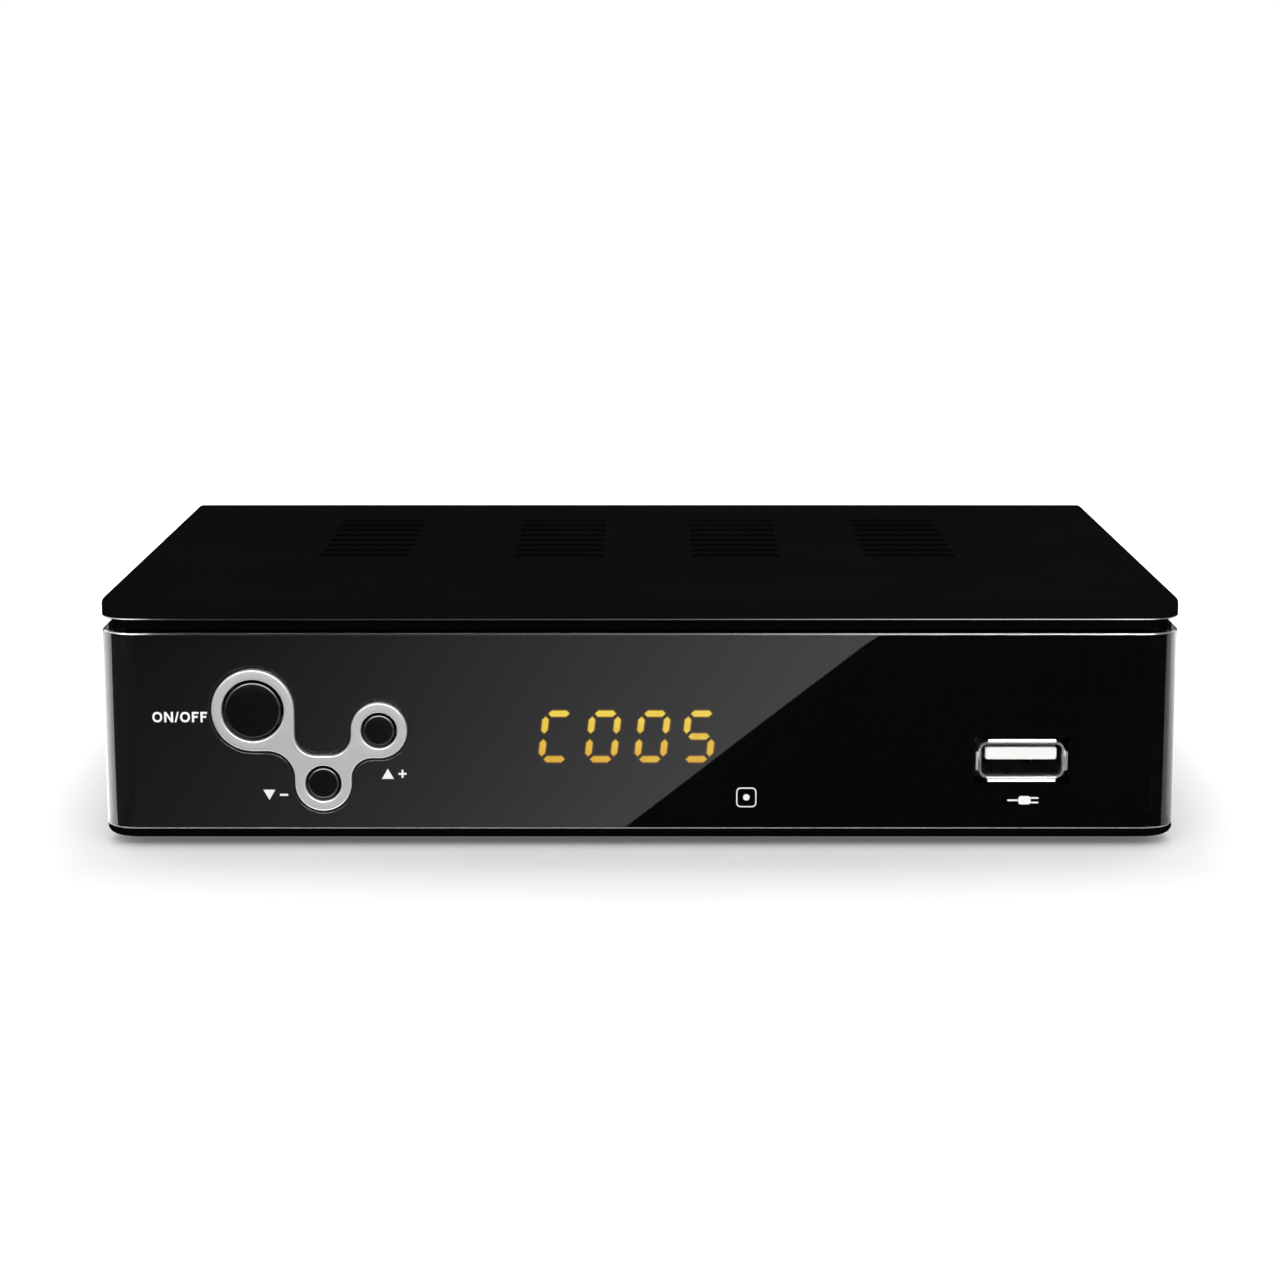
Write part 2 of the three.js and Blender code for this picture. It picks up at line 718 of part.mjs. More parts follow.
// Infrared receiver: a small black block on the front board with a round lens
function receiver() {
  const body = block(
    -receiverWidth / 2, receiverWidth / 2, frontBoardFront - receiverDepth, frontBoardFront,
    -receiverHeight / 2, receiverHeight / 2,
  );
  const lens = Array.from({ length: edgeSteps + 1 }, (_, i) => {
    const angle = (Math.PI / 2) * (i / edgeSteps);
    const y = frontBoardFront - receiverDepth - receiverLensRadius * Math.cos(angle);
    return [receiverLensRadius * Math.sin(angle), y];
  });
  const back = frontBoardFront - receiverDepth / 2;
  return body.add(turned([...lens, [receiverLensRadius, back], [0, back]], smallSides));
}

// USB socket: a folded steel shell whose four lips flare outwards, and its tongue
function usbShell() {
  const mouth = -usbProud;
  const flareBack = mouth + usbFlareDepth;
  const outer = roundedRectangle(usbOuterWidth, usbOuterHeight, usbCornerRadius + usbSheet);
  const opening = roundedRectangle(usbOpeningWidth, usbOpeningHeight, usbCornerRadius);
  const tube = slabXZ(outer, flareBack - usbSheet, usbLength + mouth)
    .subtract(slabXZ(opening, mouth - overrun, usbLength + mouth - usbSheet));
  const lips = [];
  const sides = [
    { turn: 0, reach: usbOpeningHeight / 2, width: usbLongFlapShare * usbOpeningWidth },
    { turn: 1, reach: usbOpeningWidth / 2, width: usbShortFlapShare * usbOpeningHeight },
    { turn: 2, reach: usbOpeningHeight / 2, width: usbLongFlapShare * usbOpeningWidth },
    { turn: 3, reach: usbOpeningWidth / 2, width: usbShortFlapShare * usbOpeningHeight },
  ];
  for (const { turn, reach, width } of sides) {
    const section = new THREE.Shape([
      new THREE.Vector2(flareBack + usbSheet, reach),
      new THREE.Vector2(flareBack, reach),
      new THREE.Vector2(mouth, reach + usbFlareReach),
      new THREE.Vector2(mouth, reach + usbFlareReach + usbSheet),
      new THREE.Vector2(flareBack + usbSheet, reach + usbSheet),
    ]);
    const geometry = new THREE.ExtrudeGeometry(section, { depth: width, bevelEnabled: false });
    geometry.translate(0, 0, -width / 2);
    geometry.applyMatrix4(new THREE.Matrix4().makeBasis(
      new THREE.Vector3(0, 1, 0), new THREE.Vector3(0, 0, 1), new THREE.Vector3(1, 0, 0),
    ));
    geometry.rotateY((Math.PI / 2) * turn);
    lips.push(solidOf(geometry));
  }
  return tube.add(joined(lips));
}

function usbTongue() {
  const [mouth, back] = [-usbProud, usbLength - usbProud];
  const half = usbTongueWidth / 2;
  const tongue = block(
    -half, half, mouth + usbTongueSetback, back - usbBackWall,
    usbTongueRise - usbTongueHeight / 2, usbTongueRise + usbTongueHeight / 2,
  );
  const [wide, high] = [usbOpeningWidth / 2 - fitGap, usbOpeningHeight / 2 - fitGap];
  const corner = usbCornerRadius * Math.SQRT1_2;
  const plug = block(
    corner - wide, wide - corner, back - 2 * usbBackWall, back - usbSheet - fitGap, -high, high,
  );
  return tongue.add(plug);
}

// Rear sockets, set out from the side walls: power inlet and audio-video block on the
// right seen from behind, then the HDMI socket, and the tuner can on the other side
const inletMargin = 14;
const inletWidth = 9;
const inletHeight = 11;
const inletLength = 14.2;
const inletBoreRadius = 2.9;
const inletPinRadius = 1;
const inletPinLength = 9;
const inletBackWall = 2;
const inletX = inletMargin + inletWidth / 2 - halfWidth;
const inletSeatGap = 0.45;
const inletZ = mainBoardTop + inletHeight / 2 + inletSeatGap;

const jackGap = 4;
const jackPitch = 12;
const jackCount = 3;
const jackBlockDepth = 13;
const jackBlockHeight = 13;
const jackRise = 6.8;
const jackShellRadius = 4.15;
const jackShellWall = 0.45;
const jackReach = 8;
const jackRoot = 3;
const jackInsertSetback = 0.8;
const jackBoreRadius = 1.7;
const jackBoreDepth = 8;
const jackBlockX = inletX + inletWidth / 2 + jackGap + (jackCount * jackPitch) / 2;
const jackZ = mainBoardTop + jackRise;

const hdmiWidth = 14;
const hdmiHeight = 4.6;
const hdmiSheet = 0.35;
const hdmiLength = 11;
const hdmiSkew = 1.6;
const hdmiTongueWidth = 10.4;
const hdmiTongueHeight = 1.6;
const hdmiZ = mainBoardTop + hdmiHeight / 2 + hdmiSheet;

const canMargin = 13;
const canWidth = 40;
const canDepth = 28;
const canHeight = 16;
const canSheet = 0.5;
const aerialPitch = 22;
const aerialRise = 8.4;
const aerialRadius = 4.7;
const aerialBoreRadius = 3.3;
const aerialReach = 9.5;
const aerialChamfer = 0.5;
const aerialPlugDepth = 3;
const aerialPinRadius = 0.6;
const aerialFlange = 0.9;
const canX = halfWidth - canMargin - canWidth / 2;
const hdmiX = (jackBlockX + (jackCount * jackPitch) / 2 + canX - canWidth / 2) / 2;
const canRear = socketFace - aerialFlange;
const aerialZ = mainBoardTop + aerialRise;
const cutGap = 0.4;

// Rear panel: a plate that slides down between the ribs of the base
function rearPanel() {
  const side = halfWidth - baseWall - fitGap;
  const plate = block(-side, side, panelFront, panelBack, floorTop, tongueTop);
  const [front, back] = [panelFront - overrun, panelBack + overrun];
  const cuts = [
    block(
      inletX - inletWidth / 2 - cutGap, inletX + inletWidth / 2 + cutGap, front, back,
      inletZ - inletHeight / 2 - cutGap, inletZ + inletHeight / 2 + cutGap,
    ),
    block(
      hdmiX - hdmiWidth / 2 - hdmiSheet - cutGap, hdmiX + hdmiWidth / 2 + hdmiSheet + cutGap,
      front, back,
      hdmiZ - hdmiHeight / 2 - hdmiSheet - cutGap, hdmiZ + hdmiHeight / 2 + hdmiSheet + cutGap,
    ),
  ];
  for (const side of [-1, 1]) {
    const x = canX + (side * aerialPitch) / 2;
    cuts.push(barY(aerialRadius + cutGap, x, aerialZ, front, back, socketSides));
  }
  for (let i = 0; i < jackCount; i += 1) {
    const x = jackBlockX + (i - (jackCount - 1) / 2) * jackPitch;
    cuts.push(barY(jackShellRadius + cutGap, x, jackZ, front, back, socketSides));
  }
  return plate.subtract(joined(cuts));
}

// Power inlet: a black block with a round bore, and the contact pin in it
function powerInlet() {
  const [w, h] = [inletWidth / 2, inletHeight / 2];
  const mouth = panelBack;
  const body = block(-w, w, mouth - inletLength, mouth, -h, h);
  return body.subtract(barY(inletBoreRadius, 0, 0, mouth - inletLength + inletBackWall, mouth + overrun));
}
function inletPin() {
  const root = panelBack - inletLength + inletBackWall;
  const tip = root + inletPinLength;
  const end = tip + inletPinRadius / 2;
  return turned([
    [0, root], [inletPinRadius, root], [inletPinRadius, tip], [inletPinRadius / 2, end], [0, end],
  ], smallSides);
}

// Audio-video block on the main board, and the shell and coloured insert of each jack
function jackBlock() {
  const half = (jackCount * jackPitch) / 2;
  const body = block(
    jackBlockX - half, jackBlockX + half, socketFace - jackBlockDepth, socketFace,
    mainBoardTop, mainBoardTop + jackBlockHeight,
  );
  const sockets = [];
  for (let i = 0; i < jackCount; i += 1) {
    const x = jackBlockX + (i - (jackCount - 1) / 2) * jackPitch;
    const root = socketFace - jackRoot;
    sockets.push(barY(jackShellRadius + fitGap, x, jackZ, root, socketFace + overrun, socketSides));
  }
  return body.subtract(joined(sockets));
}
function jackShell() {
  const [root, end] = [socketFace - jackRoot, caseDepth + jackReach];
  const inner = jackShellRadius - jackShellWall;
  return turned([
    [inner, root], [jackShellRadius, root], [jackShellRadius, end - jackShellWall],
    [jackShellRadius - jackShellWall / 2, end], [inner, end], [inner, root],
  ], socketSides);
}
function jackInsert() {
  const [root, end] = [socketFace - jackRoot, caseDepth + jackReach - jackInsertSetback];
  const radius = jackShellRadius - jackShellWall - contactGap;
  const floor = end - jackBoreDepth;
  return turned([
    [0, root], [radius, root], [radius, end], [jackBoreRadius, end], [jackBoreRadius, floor], [0, floor],
  ], socketSides);
}

// HDMI socket: a steel shell whose lower corners are cut off, and its tongue
function hdmiOutline(grow) {
  const [w, h] = [hdmiWidth / 2 + grow, hdmiHeight / 2 + grow];
  return new THREE.Shape([
    new THREE.Vector2(-w, h), new THREE.Vector2(-w, hdmiSkew - h), new THREE.Vector2(hdmiSkew - w, -h),
    new THREE.Vector2(w - hdmiSkew, -h), new THREE.Vector2(w, hdmiSkew - h), new THREE.Vector2(w, h),
  ]);
}
function hdmiShell() {
  const root = panelBack - hdmiLength;
  return slabXZ(hdmiOutline(hdmiSheet), root, panelBack)
    .subtract(slabXZ(hdmiOutline(0), root + hdmiSheet, panelBack + overrun));
}
function hdmiTongue() {
  const root = panelBack - hdmiLength + hdmiSheet + contactGap;
  const [w, h] = [hdmiWidth / 2 - hdmiSkew, hdmiHeight / 2 - fitGap];
  const plug = block(-w, w, root, root + hdmiSkew, -h, h);
  const tongue = block(
    -hdmiTongueWidth / 2, hdmiTongueWidth / 2, root, panelBack - 2 * hdmiSheet,
    -hdmiTongueHeight / 2, hdmiTongueHeight / 2,
  );
  return plug.add(tongue);
}

// Tuner can on the main board, open below, with an aerial socket on each side of its rear
function tunerCan() {
  const [left, right] = [canX - canWidth / 2, canX + canWidth / 2];
  const front = canRear - canDepth;
  const top = mainBoardTop + canHeight;
  const hollow = block(
    left + canSheet, right - canSheet, front + canSheet, canRear - canSheet,
    mainBoardTop - overrun, top - canSheet,
  );
  return block(left, right, front, canRear, mainBoardTop, top).subtract(hollow);
}
function aerialSocket() {
  const end = caseDepth + aerialReach;
  const flange = aerialRadius + aerialFlange;
  return turned([
    [0, canRear], [flange, canRear], [flange, socketFace], [aerialRadius, socketFace],
    [aerialRadius, end - aerialChamfer], [aerialRadius - aerialChamfer, end], [aerialBoreRadius, end],
    [aerialBoreRadius, end - aerialPlugDepth], [0, end - aerialPlugDepth],
  ], socketSides);
}
function aerialInsulator() {
  const end = caseDepth + aerialReach;
  const root = end - aerialPlugDepth;
  const floor = root + aerialChamfer;
  const face = end - aerialChamfer;
  const radius = aerialBoreRadius - contactGap;
  return turned([
    [0, root], [radius, root], [radius, face], [aerialPinRadius, face], [aerialPinRadius, floor], [0, floor],
  ], smallSides);
}

// Front board, upright behind the frame, with a hole for each stake
function frontBoard() {
  const board = block(
    frontBoardLeft, frontBoardRight, frontBoardFront, frontBoardBack, frontBoardBottom, frontBoardTop,
  );
  const holes = stakePlaces.map(([x, z]) => (
    barY(stakePinRadius + fitGap, x, z, frontBoardFront - overrun, frontBoardBack + overrun, smallSides)
  ));
  return board.subtract(joined(holes));
}

// Main board on the four standoffs, cut away round the screw posts, with a shelf that
// reaches forward under the USB socket
const boardHoleRadius = 1.7;
const postNotchGap = 0.9;
function mainBoard() {
  const sheet = block(
    -boardHalfWidth, boardHalfWidth, mainBoardFront, mainBoardRear, mainBoardBottom, mainBoardTop,
  );
  const shelf = block(
    usbX - usbShelfWidth / 2, usbX + usbShelfWidth / 2, usbShelfFront, mainBoardFront + boardThickness,
    mainBoardBottom, mainBoardTop,
  );
  const notches = postPlaces.map(([x, y]) => {
    const reach = postRadius + postNotchGap;
    const outer = Math.sign(x) * caseWidth;
    const inner = x - Math.sign(x) * reach;
    return block(
      Math.min(inner, outer), Math.max(inner, outer), y - reach, y + reach,
      mainBoardBottom - overrun, mainBoardTop + overrun,
    );
  });
  const holes = standoffPlaces.map(([x, y]) => (
    barZ(boardHoleRadius, x, y, mainBoardBottom - overrun, mainBoardTop + overrun)
  ));
  return sheet.add(shelf).subtract(joined(notches)).subtract(joined(holes));
}

// Processor with a finned heat sink on it
const chipX = -8;
const chipY = (mainBoardFront + mainBoardRear) / 2;
const chipSide = 21;
const chipHeight = 2;
const sinkSide = 30;
const sinkBase = 2;
const sinkHeight = 9;
const finCount = 8;
const finThickness = 1.3;
function heatSink() {
  const half = sinkSide / 2;
  const low = mainBoardTop + chipHeight;
  const base = block(-half, half, -half, half, low, low + sinkBase);
  const pitch = (sinkSide - finThickness) / (finCount - 1);
  const fins = Array.from({ length: finCount }, (_, i) => {
    const x = i * pitch - half;
    return block(x, x + finThickness, -half, half, low + sinkBase / 2, low + sinkHeight);
  });
  return base.add(joined(fins));
}

// Two smoothing capacitors in a row before the power inlet
const capacitorRadius = 4;
const capacitorHeight = 12;
const capacitorEdge = 0.5;
const capacitorSide = 14;
const capacitorGap = 19.7;
const capacitorPitch = 12;
const capacitorX = inletX + capacitorSide;
const capacitorY = socketFace - jackBlockDepth - capacitorGap;
function capacitor() {
  const [low, top] = [mainBoardTop, mainBoardTop + capacitorHeight];
  return turnedUpright([
    [0, low], [capacitorRadius, low], [capacitorRadius, top - capacitorEdge],
    [capacitorRadius - capacitorEdge, top], [0, top],
  ]);
}

// Ribbon cable between a header on each board
const headerWidth = 16;
const headerHeight = 5;
const headerDepth = 3;
const ribbonWidth = 13;
const ribbonThickness = 0.8;
const ribbonBendShare = 0.38;
const ribbonRun = 9;
const ribbonX = 6;
const frontHeaderZ = frontBoardTop - headerHeight;
const ribbonLow = mainBoardTop + headerHeight;
const ribbonTop = frontHeaderZ + ribbonThickness / 2;
const ribbonBend = ribbonBendShare * (ribbonTop - ribbonLow);
const ribbonEnd = frontBoardBack + headerDepth + ribbonRun;
function frontHeader() {
  return block(
    -headerWidth / 2, headerWidth / 2, frontBoardBack, frontBoardBack + headerDepth,
    -headerHeight / 2, headerHeight / 2,
  );
}
function mainHeader() {
  return block(
    -headerWidth / 2, headerWidth / 2, -headerDepth / 2, headerDepth / 2,
    mainBoardTop, mainBoardTop + headerHeight,
  );
}
function ribbonCable() {
  const start = frontBoardBack + headerDepth;
  const [inside, outside] = [ribbonBend - ribbonThickness, ribbonBend];
  const centreY = ribbonEnd + ribbonThickness / 2 - outside;
  const centreZ = ribbonTop - outside;
  const section = new THREE.Shape([
    new THREE.Vector2(start, ribbonTop - ribbonThickness),
    ...arc(centreY, centreZ, inside, 1, 0, bendSteps),
    new THREE.Vector2(centreY + inside, ribbonLow),
    new THREE.Vector2(centreY + outside, ribbonLow),
    ...arc(centreY, centreZ, outside, 0, 1, bendSteps),
    new THREE.Vector2(start, ribbonTop),
  ]);
  const geometry = new THREE.ExtrudeGeometry(section, { depth: ribbonWidth, bevelEnabled: false });
  geometry.translate(0, 0, -ribbonWidth / 2);
  geometry.applyMatrix4(new THREE.Matrix4().makeBasis(
    new THREE.Vector3(0, 1, 0), new THREE.Vector3(0, 0, 1), new THREE.Vector3(1, 0, 0),
  ));
  return solidOf(geometry);
}

// Screws, seen from below as a round head in a recess, or from above on the board
const screwTipGap = 3;
const boardScrewLength = 5;
function caseScrew() {
  const seat = footHeight + screwRecess;
  const tip = lidUnderside - overrun - screwTipGap;
  return turnedUpright([
    [0, seat - screwHeadHeight], [screwHeadRadius / 2, seat - screwHeadHeight],
    [screwHeadRadius, seat - screwHeadHeight / 2], [screwHeadRadius, seat], [screwRadius, seat],
    [screwRadius, tip - screwRadius], [0, tip],
  ]);
}
function boardScrew() {
  const seat = mainBoardTop;
  return turnedUpright([
    [0, seat - boardScrewLength], [screwRadius, seat - boardScrewLength + screwRadius], [screwRadius, seat],
    [screwHeadRadius, seat], [screwHeadRadius, seat + screwHeadHeight / 2],
    [screwHeadRadius / 2, seat + screwHeadHeight], [0, seat + screwHeadHeight],
  ]);
}

// Rubber foot stuck under the base beside each screw
const footShift = 11;
const footChamfer = 0.3;
function foot() {
  return turnedUpright([
    [0, 0], [footRadius - footChamfer, 0], [footRadius, footChamfer], [footRadius, footHeight],
    [0, footHeight],
  ]);
}

// Everything in its place
addPiece('top_cover', topCover(), blackPlastic);
addPiece('bottom_cover', bottomCover(), blackPlastic);
addPiece('front_window', frontWindow(), smokedPlastic);
addPiece('front_frame', frontFrame(), blackPlastic);
addPiece('rear_panel', rearPanel(), blackPlastic);
addPiece('button_trim', buttonTrim(), satinSilver);

for (const { name, x, z, cap } of buttonPlaces) {
  const place = groupAt(x, 0, z);
  addPiece(`${name}_button`, button(cap), glossBlack, place);
  const plunger = barY(plungerRadius, 0, 0, plungerFront, plungerBack, smallSides);
  addPiece(`${name}_plunger`, plunger, whitePlastic, place);
  addPiece(`${name}_switch`, switchBody(), chipBlack, place);
}

const displayPlace = groupAt(displayOffset, 0, displayZ);
addPiece('display_housing', displayHousing(), displayBlack, displayPlace);
addPiece('display_segments', displaySegments(), litAmber, displayPlace);
addPiece('infrared_receiver', receiver(), chipBlack, groupAt(receiverX, 0, receiverZ));

const usbPlace = groupAt(usbX, 0, usbZ);
addPiece('usb_shell', usbShell(), steel, usbPlace);
addPiece('usb_tongue', usbTongue(), whitePlastic, usbPlace);

addPiece('front_board', frontBoard(), boardGreen);
addPiece('main_board', mainBoard(), boardGreen);
const chipPlace = groupAt(chipX, chipY, 0);
const chipHalf = chipSide / 2;
const chipTop = mainBoardTop + chipHeight;
const chip = block(-chipHalf, chipHalf, -chipHalf, chipHalf, mainBoardTop, chipTop);
addPiece('processor', chip, chipBlack, chipPlace);
addPiece('heat_sink', heatSink(), aluminium, chipPlace);
for (const order of [1, 2]) {
  const y = capacitorY - (order - 1) * capacitorPitch;
  addPiece(`capacitor_${order}`, capacitor(), capacitorSleeve, groupAt(capacitorX, y, 0));
}
addPiece('front_header', frontHeader(), whitePlastic, groupAt(ribbonX, 0, frontHeaderZ));
addPiece('main_header', mainHeader(), whitePlastic, groupAt(ribbonX, ribbonEnd, 0));
addPiece('ribbon_cable', ribbonCable(), ribbonGrey, groupAt(ribbonX, 0, 0));

const inletPlace = groupAt(inletX, 0, inletZ);
addPiece('power_inlet', powerInlet(), chipBlack, inletPlace);
addPiece('power_inlet_pin', inletPin(), steel, inletPlace);
addPiece('jack_block', jackBlock(), chipBlack);
const jackColours = [
  ['video', yellowPlastic],
  ['left_audio', whitePlastic],
  ['right_audio', redPlastic],
];
jackColours.forEach(([name, colour], i) => {
  const x = jackBlockX + (i - (jackCount - 1) / 2) * jackPitch;
  const place = groupAt(x, 0, jackZ);
  addPiece(`${name}_jack_shell`, jackShell(), steel, place);
  addPiece(`${name}_jack_insert`, jackInsert(), colour, place);
});
const hdmiPlace = groupAt(hdmiX, 0, hdmiZ);
addPiece('hdmi_shell', hdmiShell(), steel, hdmiPlace);
addPiece('hdmi_tongue', hdmiTongue(), chipBlack, hdmiPlace);
addPiece('tuner_can', tunerCan(), canMetal);
for (const [name, side] of [['aerial_output', -1], ['aerial_input', 1]]) {
  const place = groupAt(canX + (side * aerialPitch) / 2, 0, aerialZ);
  addPiece(`${name}_socket`, aerialSocket(), steel, place);
  addPiece(`${name}_insulator`, aerialInsulator(), whitePlastic, place);
}

const corners = ['front_left', 'front_right', 'rear_left', 'rear_right'];
corners.forEach((corner, i) => {
  const [x, y] = postPlaces[i];
  addPiece(`case_screw_${corner}`, caseScrew(), zincScrew, groupAt(x, y, 0));
  addPiece(`foot_${corner}`, foot(), rubber, groupAt(x - Math.sign(x) * footShift, y, 0));
  const [boardX, boardY] = standoffPlaces[i];
  addPiece(`board_screw_${corner}`, boardScrew(), zincScrew, groupAt(boardX, boardY, 0));
});

// The origin lies on the table under the middle of the whole box
const frontEnd = -trimThickness;
const rearEnd = caseDepth + aerialReach;
unit.position.y = -(frontEnd + rearEnd) / 2;

const converterBox = new THREE.Group();
converterBox.name = 'digital_converter_box';
converterBox.add(unit);
export default converterBox;
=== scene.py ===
# A small black digital converter box: vented lid, wrap-round glossy window with three
# buttons in one silver trim, a lit display and a USB socket, and the sockets behind.
import math

import bmesh
import bpy
import numpy as np
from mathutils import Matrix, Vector
from mathutils.geometry import delaunay_2d_cdt


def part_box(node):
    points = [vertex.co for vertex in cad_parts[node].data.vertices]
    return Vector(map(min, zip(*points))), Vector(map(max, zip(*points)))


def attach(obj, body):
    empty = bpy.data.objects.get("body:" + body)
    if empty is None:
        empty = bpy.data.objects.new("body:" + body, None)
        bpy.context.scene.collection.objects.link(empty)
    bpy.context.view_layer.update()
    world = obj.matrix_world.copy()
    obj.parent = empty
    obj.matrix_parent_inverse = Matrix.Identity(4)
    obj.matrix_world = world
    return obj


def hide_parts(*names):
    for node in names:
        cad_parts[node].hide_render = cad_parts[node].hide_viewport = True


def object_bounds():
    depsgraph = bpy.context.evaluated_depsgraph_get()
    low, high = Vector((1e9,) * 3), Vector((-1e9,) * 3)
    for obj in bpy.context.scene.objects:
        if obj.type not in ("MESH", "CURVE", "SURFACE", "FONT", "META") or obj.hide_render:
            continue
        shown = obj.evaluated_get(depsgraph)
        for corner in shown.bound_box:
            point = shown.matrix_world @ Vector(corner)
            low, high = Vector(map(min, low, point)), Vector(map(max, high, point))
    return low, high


MM = 0.001
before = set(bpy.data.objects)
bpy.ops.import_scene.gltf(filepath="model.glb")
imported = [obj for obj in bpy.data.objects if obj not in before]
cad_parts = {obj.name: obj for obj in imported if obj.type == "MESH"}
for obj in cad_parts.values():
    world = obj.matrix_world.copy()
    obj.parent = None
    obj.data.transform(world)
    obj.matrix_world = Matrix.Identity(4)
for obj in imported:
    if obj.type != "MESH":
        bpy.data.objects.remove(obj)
cad_low, cad_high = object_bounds()
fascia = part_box("front_window")[0].y
scene = bpy.context.scene
scene.view_settings.view_transform = "Standard"


# ---------------------------------------------------------------- camera and studio
# The box stands on a white sweep, seen from in front and a little above. A large soft
# lamp hangs over and behind it, so that its shadow falls forward, another hangs before
# it, and a small one stands on each side.
camera_height = 0.11448
camera_distance = 0.45507
camera_tilt = math.radians(10.223)
camera_lens = 85.63
camera = bpy.data.objects.new("camera", bpy.data.cameras.new("camera"))
camera.data.lens = camera_lens
camera.location = (0.0, fascia - camera_distance, camera_height)
camera.rotation_euler = (math.pi / 2 - camera_tilt, 0.0, 0.0)
scene.collection.objects.link(camera)
scene.camera = camera


def add(tree, kind, values=None, **settings):
    """A new node. Settings are its own properties; values go to its inputs, by name or place,
    each a plain value or a socket to link."""
    node = tree.nodes.new(f"ShaderNode{kind}")
    for label, value in settings.items():
        setattr(node, label, value)
    for label, value in (values or {}).items():
        if isinstance(value, bpy.types.NodeSocket):
            tree.links.new(value, node.inputs[label])
        else:
            node.inputs[label].default_value = value
    return node


def calc(tree, operation, first, second, clamp=False):
    """The result of a Math node on two values, each a socket or a plain number."""
    return add(tree, "Math", {0: first, 1: second}, operation=operation, use_clamp=clamp).outputs[0]


def own_place(tree):
    """The object's own coordinates, in metres."""
    return add(tree, "TexCoord").outputs["Object"]


def own_axis(tree, axis):
    """The object's own coordinate along one axis, in metres."""
    return add(tree, "SeparateXYZ", {0: own_place(tree)}).outputs[axis]


def stored(tree, name):
    """The number that the mesh stores at its points under a name."""
    return add(tree, "Attribute", attribute_name=name).outputs["Fac"]


def ramp(tree, value, low, high, first=0.0, last=1.0):
    """The first number up to a low value, the last one from a high value on, and a straight
    line between them."""
    return add(tree, "MapRange", {
        "Value": value, "From Min": low, "From Max": high, "To Min": first, "To Max": last,
    }).outputs[0]


def mixed(tree, amount, first, second, blend="MIX"):
    """Two colours mixed by an amount, each a socket or plain numbers."""
    return add(tree, "Mix", {"Factor": amount, "A": first, "B": second}, data_type="RGBA",
               blend_type=blend).outputs["Result"]


def bumped(tree, height, strength, distance):
    """The normal of a surface whose bumps stand up by a distance in millimetres."""
    return add(tree, "Bump", {
        "Height": height, "Strength": strength, "Distance": distance * MM,
    }).outputs["Normal"]


def paint(name):
    """A new material and its node tree, emptied."""
    material = bpy.data.materials.new(name)
    material.use_nodes = True
    material.node_tree.nodes.clear()
    return material, material.node_tree


def show(tree, shader):
    """Puts a shader on the material's surface."""
    add(tree, "OutputMaterial", {"Surface": shader.outputs[0]})


sky_white = (1.0, 1.0, 1.0, 1.0)
sky_light = 0.56
world = bpy.data.worlds.new("studio")
world.use_nodes = True
scene.world = world
sky = world.node_tree
background = sky.nodes["Background"]
background.inputs["Color"].default_value = sky_white
sky_path = add(sky, "LightPath").outputs
seen = calc(sky, "ADD", sky_path["Is Camera Ray"], sky_path["Is Glossy Ray"], True)
seen = calc(sky, "ADD", seen, sky_path["Is Transmission Ray"], True)
shown = calc(sky, "MULTIPLY", seen, 1.0 - sky_light)
sky.links.new(calc(sky, "ADD", shown, sky_light), background.inputs["Strength"])


def lamp(name, place, target, width, height, radiance):
    """A flat soft lamp that faces a point; its power follows from its area and brightness."""
    data = bpy.data.lights.new(name, "AREA")
    data.shape = "RECTANGLE"
    data.size = width
    data.size_y = height
    data.energy = radiance * math.pi * width * height
    hung = bpy.data.objects.new(name, data)
    hung.location = place
    hung.rotation_euler = (Vector(target) - Vector(place)).to_track_quat("-Z", "Y").to_euler()
    scene.collection.objects.link(hung)


# Each lamp's place, the point it faces, its width and height in metres, and its radiance
lamps = {
    "lamp_above": ((0.0, 0.36, 0.76), (0.0, 0.0, 0.0), 0.90, 0.45, 2.1),
    "lamp_before": ((0.0, -1.0, 0.75), (0.0, 0.0, 0.0), 1.20, 0.60, 2.6),
    "lamp_beside_1": ((-0.60, 0.16, 0.20), (0.0, 0.0, 0.02), 0.50, 0.36, 0.8),
    "lamp_beside_3": ((0.60, 0.16, 0.20), (0.0, 0.0, 0.02), 0.50, 0.36, 0.8),
}
for name, values in lamps.items():
    lamp(name, *values)

# The floor lights itself a little for the camera, more towards the horizon and to the sides
floor_size = 6.0
floor_white = (0.90, 0.90, 0.90, 1.0)
floor_lift = 0.075
floor_far_lift = 1.2
floor_far = 2.5
floor_side_lift = 0.30
floor_side = (0.084, 0.108)
floor_mesh = bpy.data.meshes.new("sweep")
floor_corners = floor_size * np.array([[-1, -1, 0], [1, -1, 0], [1, 1, 0], [-1, 1, 0]], float)
floor_mesh.from_pydata(floor_corners.tolist(), [], [(0, 1, 2, 3)])
sweep = bpy.data.objects.new("sweep", floor_mesh)
scene.collection.objects.link(sweep)
sweep_paint, tree = paint("sweep_paint")
distance = add(tree, "VectorMath", {0: own_place(tree)}, operation="LENGTH").outputs["Value"]
farness = calc(tree, "DIVIDE", distance, floor_far, True)
lift = calc(tree, "ADD", calc(tree, "MULTIPLY", farness, floor_far_lift), floor_lift)
aside = calc(tree, "ABSOLUTE", own_axis(tree, "X"), 0.0)
lift = calc(tree, "ADD", lift, ramp(tree, aside, *floor_side, 0.0, floor_side_lift))
lift = calc(tree, "MULTIPLY", lift, add(tree, "LightPath").outputs["Is Camera Ray"])
matte = add(tree, "BsdfDiffuse", {"Color": floor_white})
glow = add(tree, "Emission", {"Strength": lift})
show(tree, add(tree, "AddShader", {0: matte.outputs[0], 1: glow.outputs[0]}))
floor_mesh.materials.append(sweep_paint)

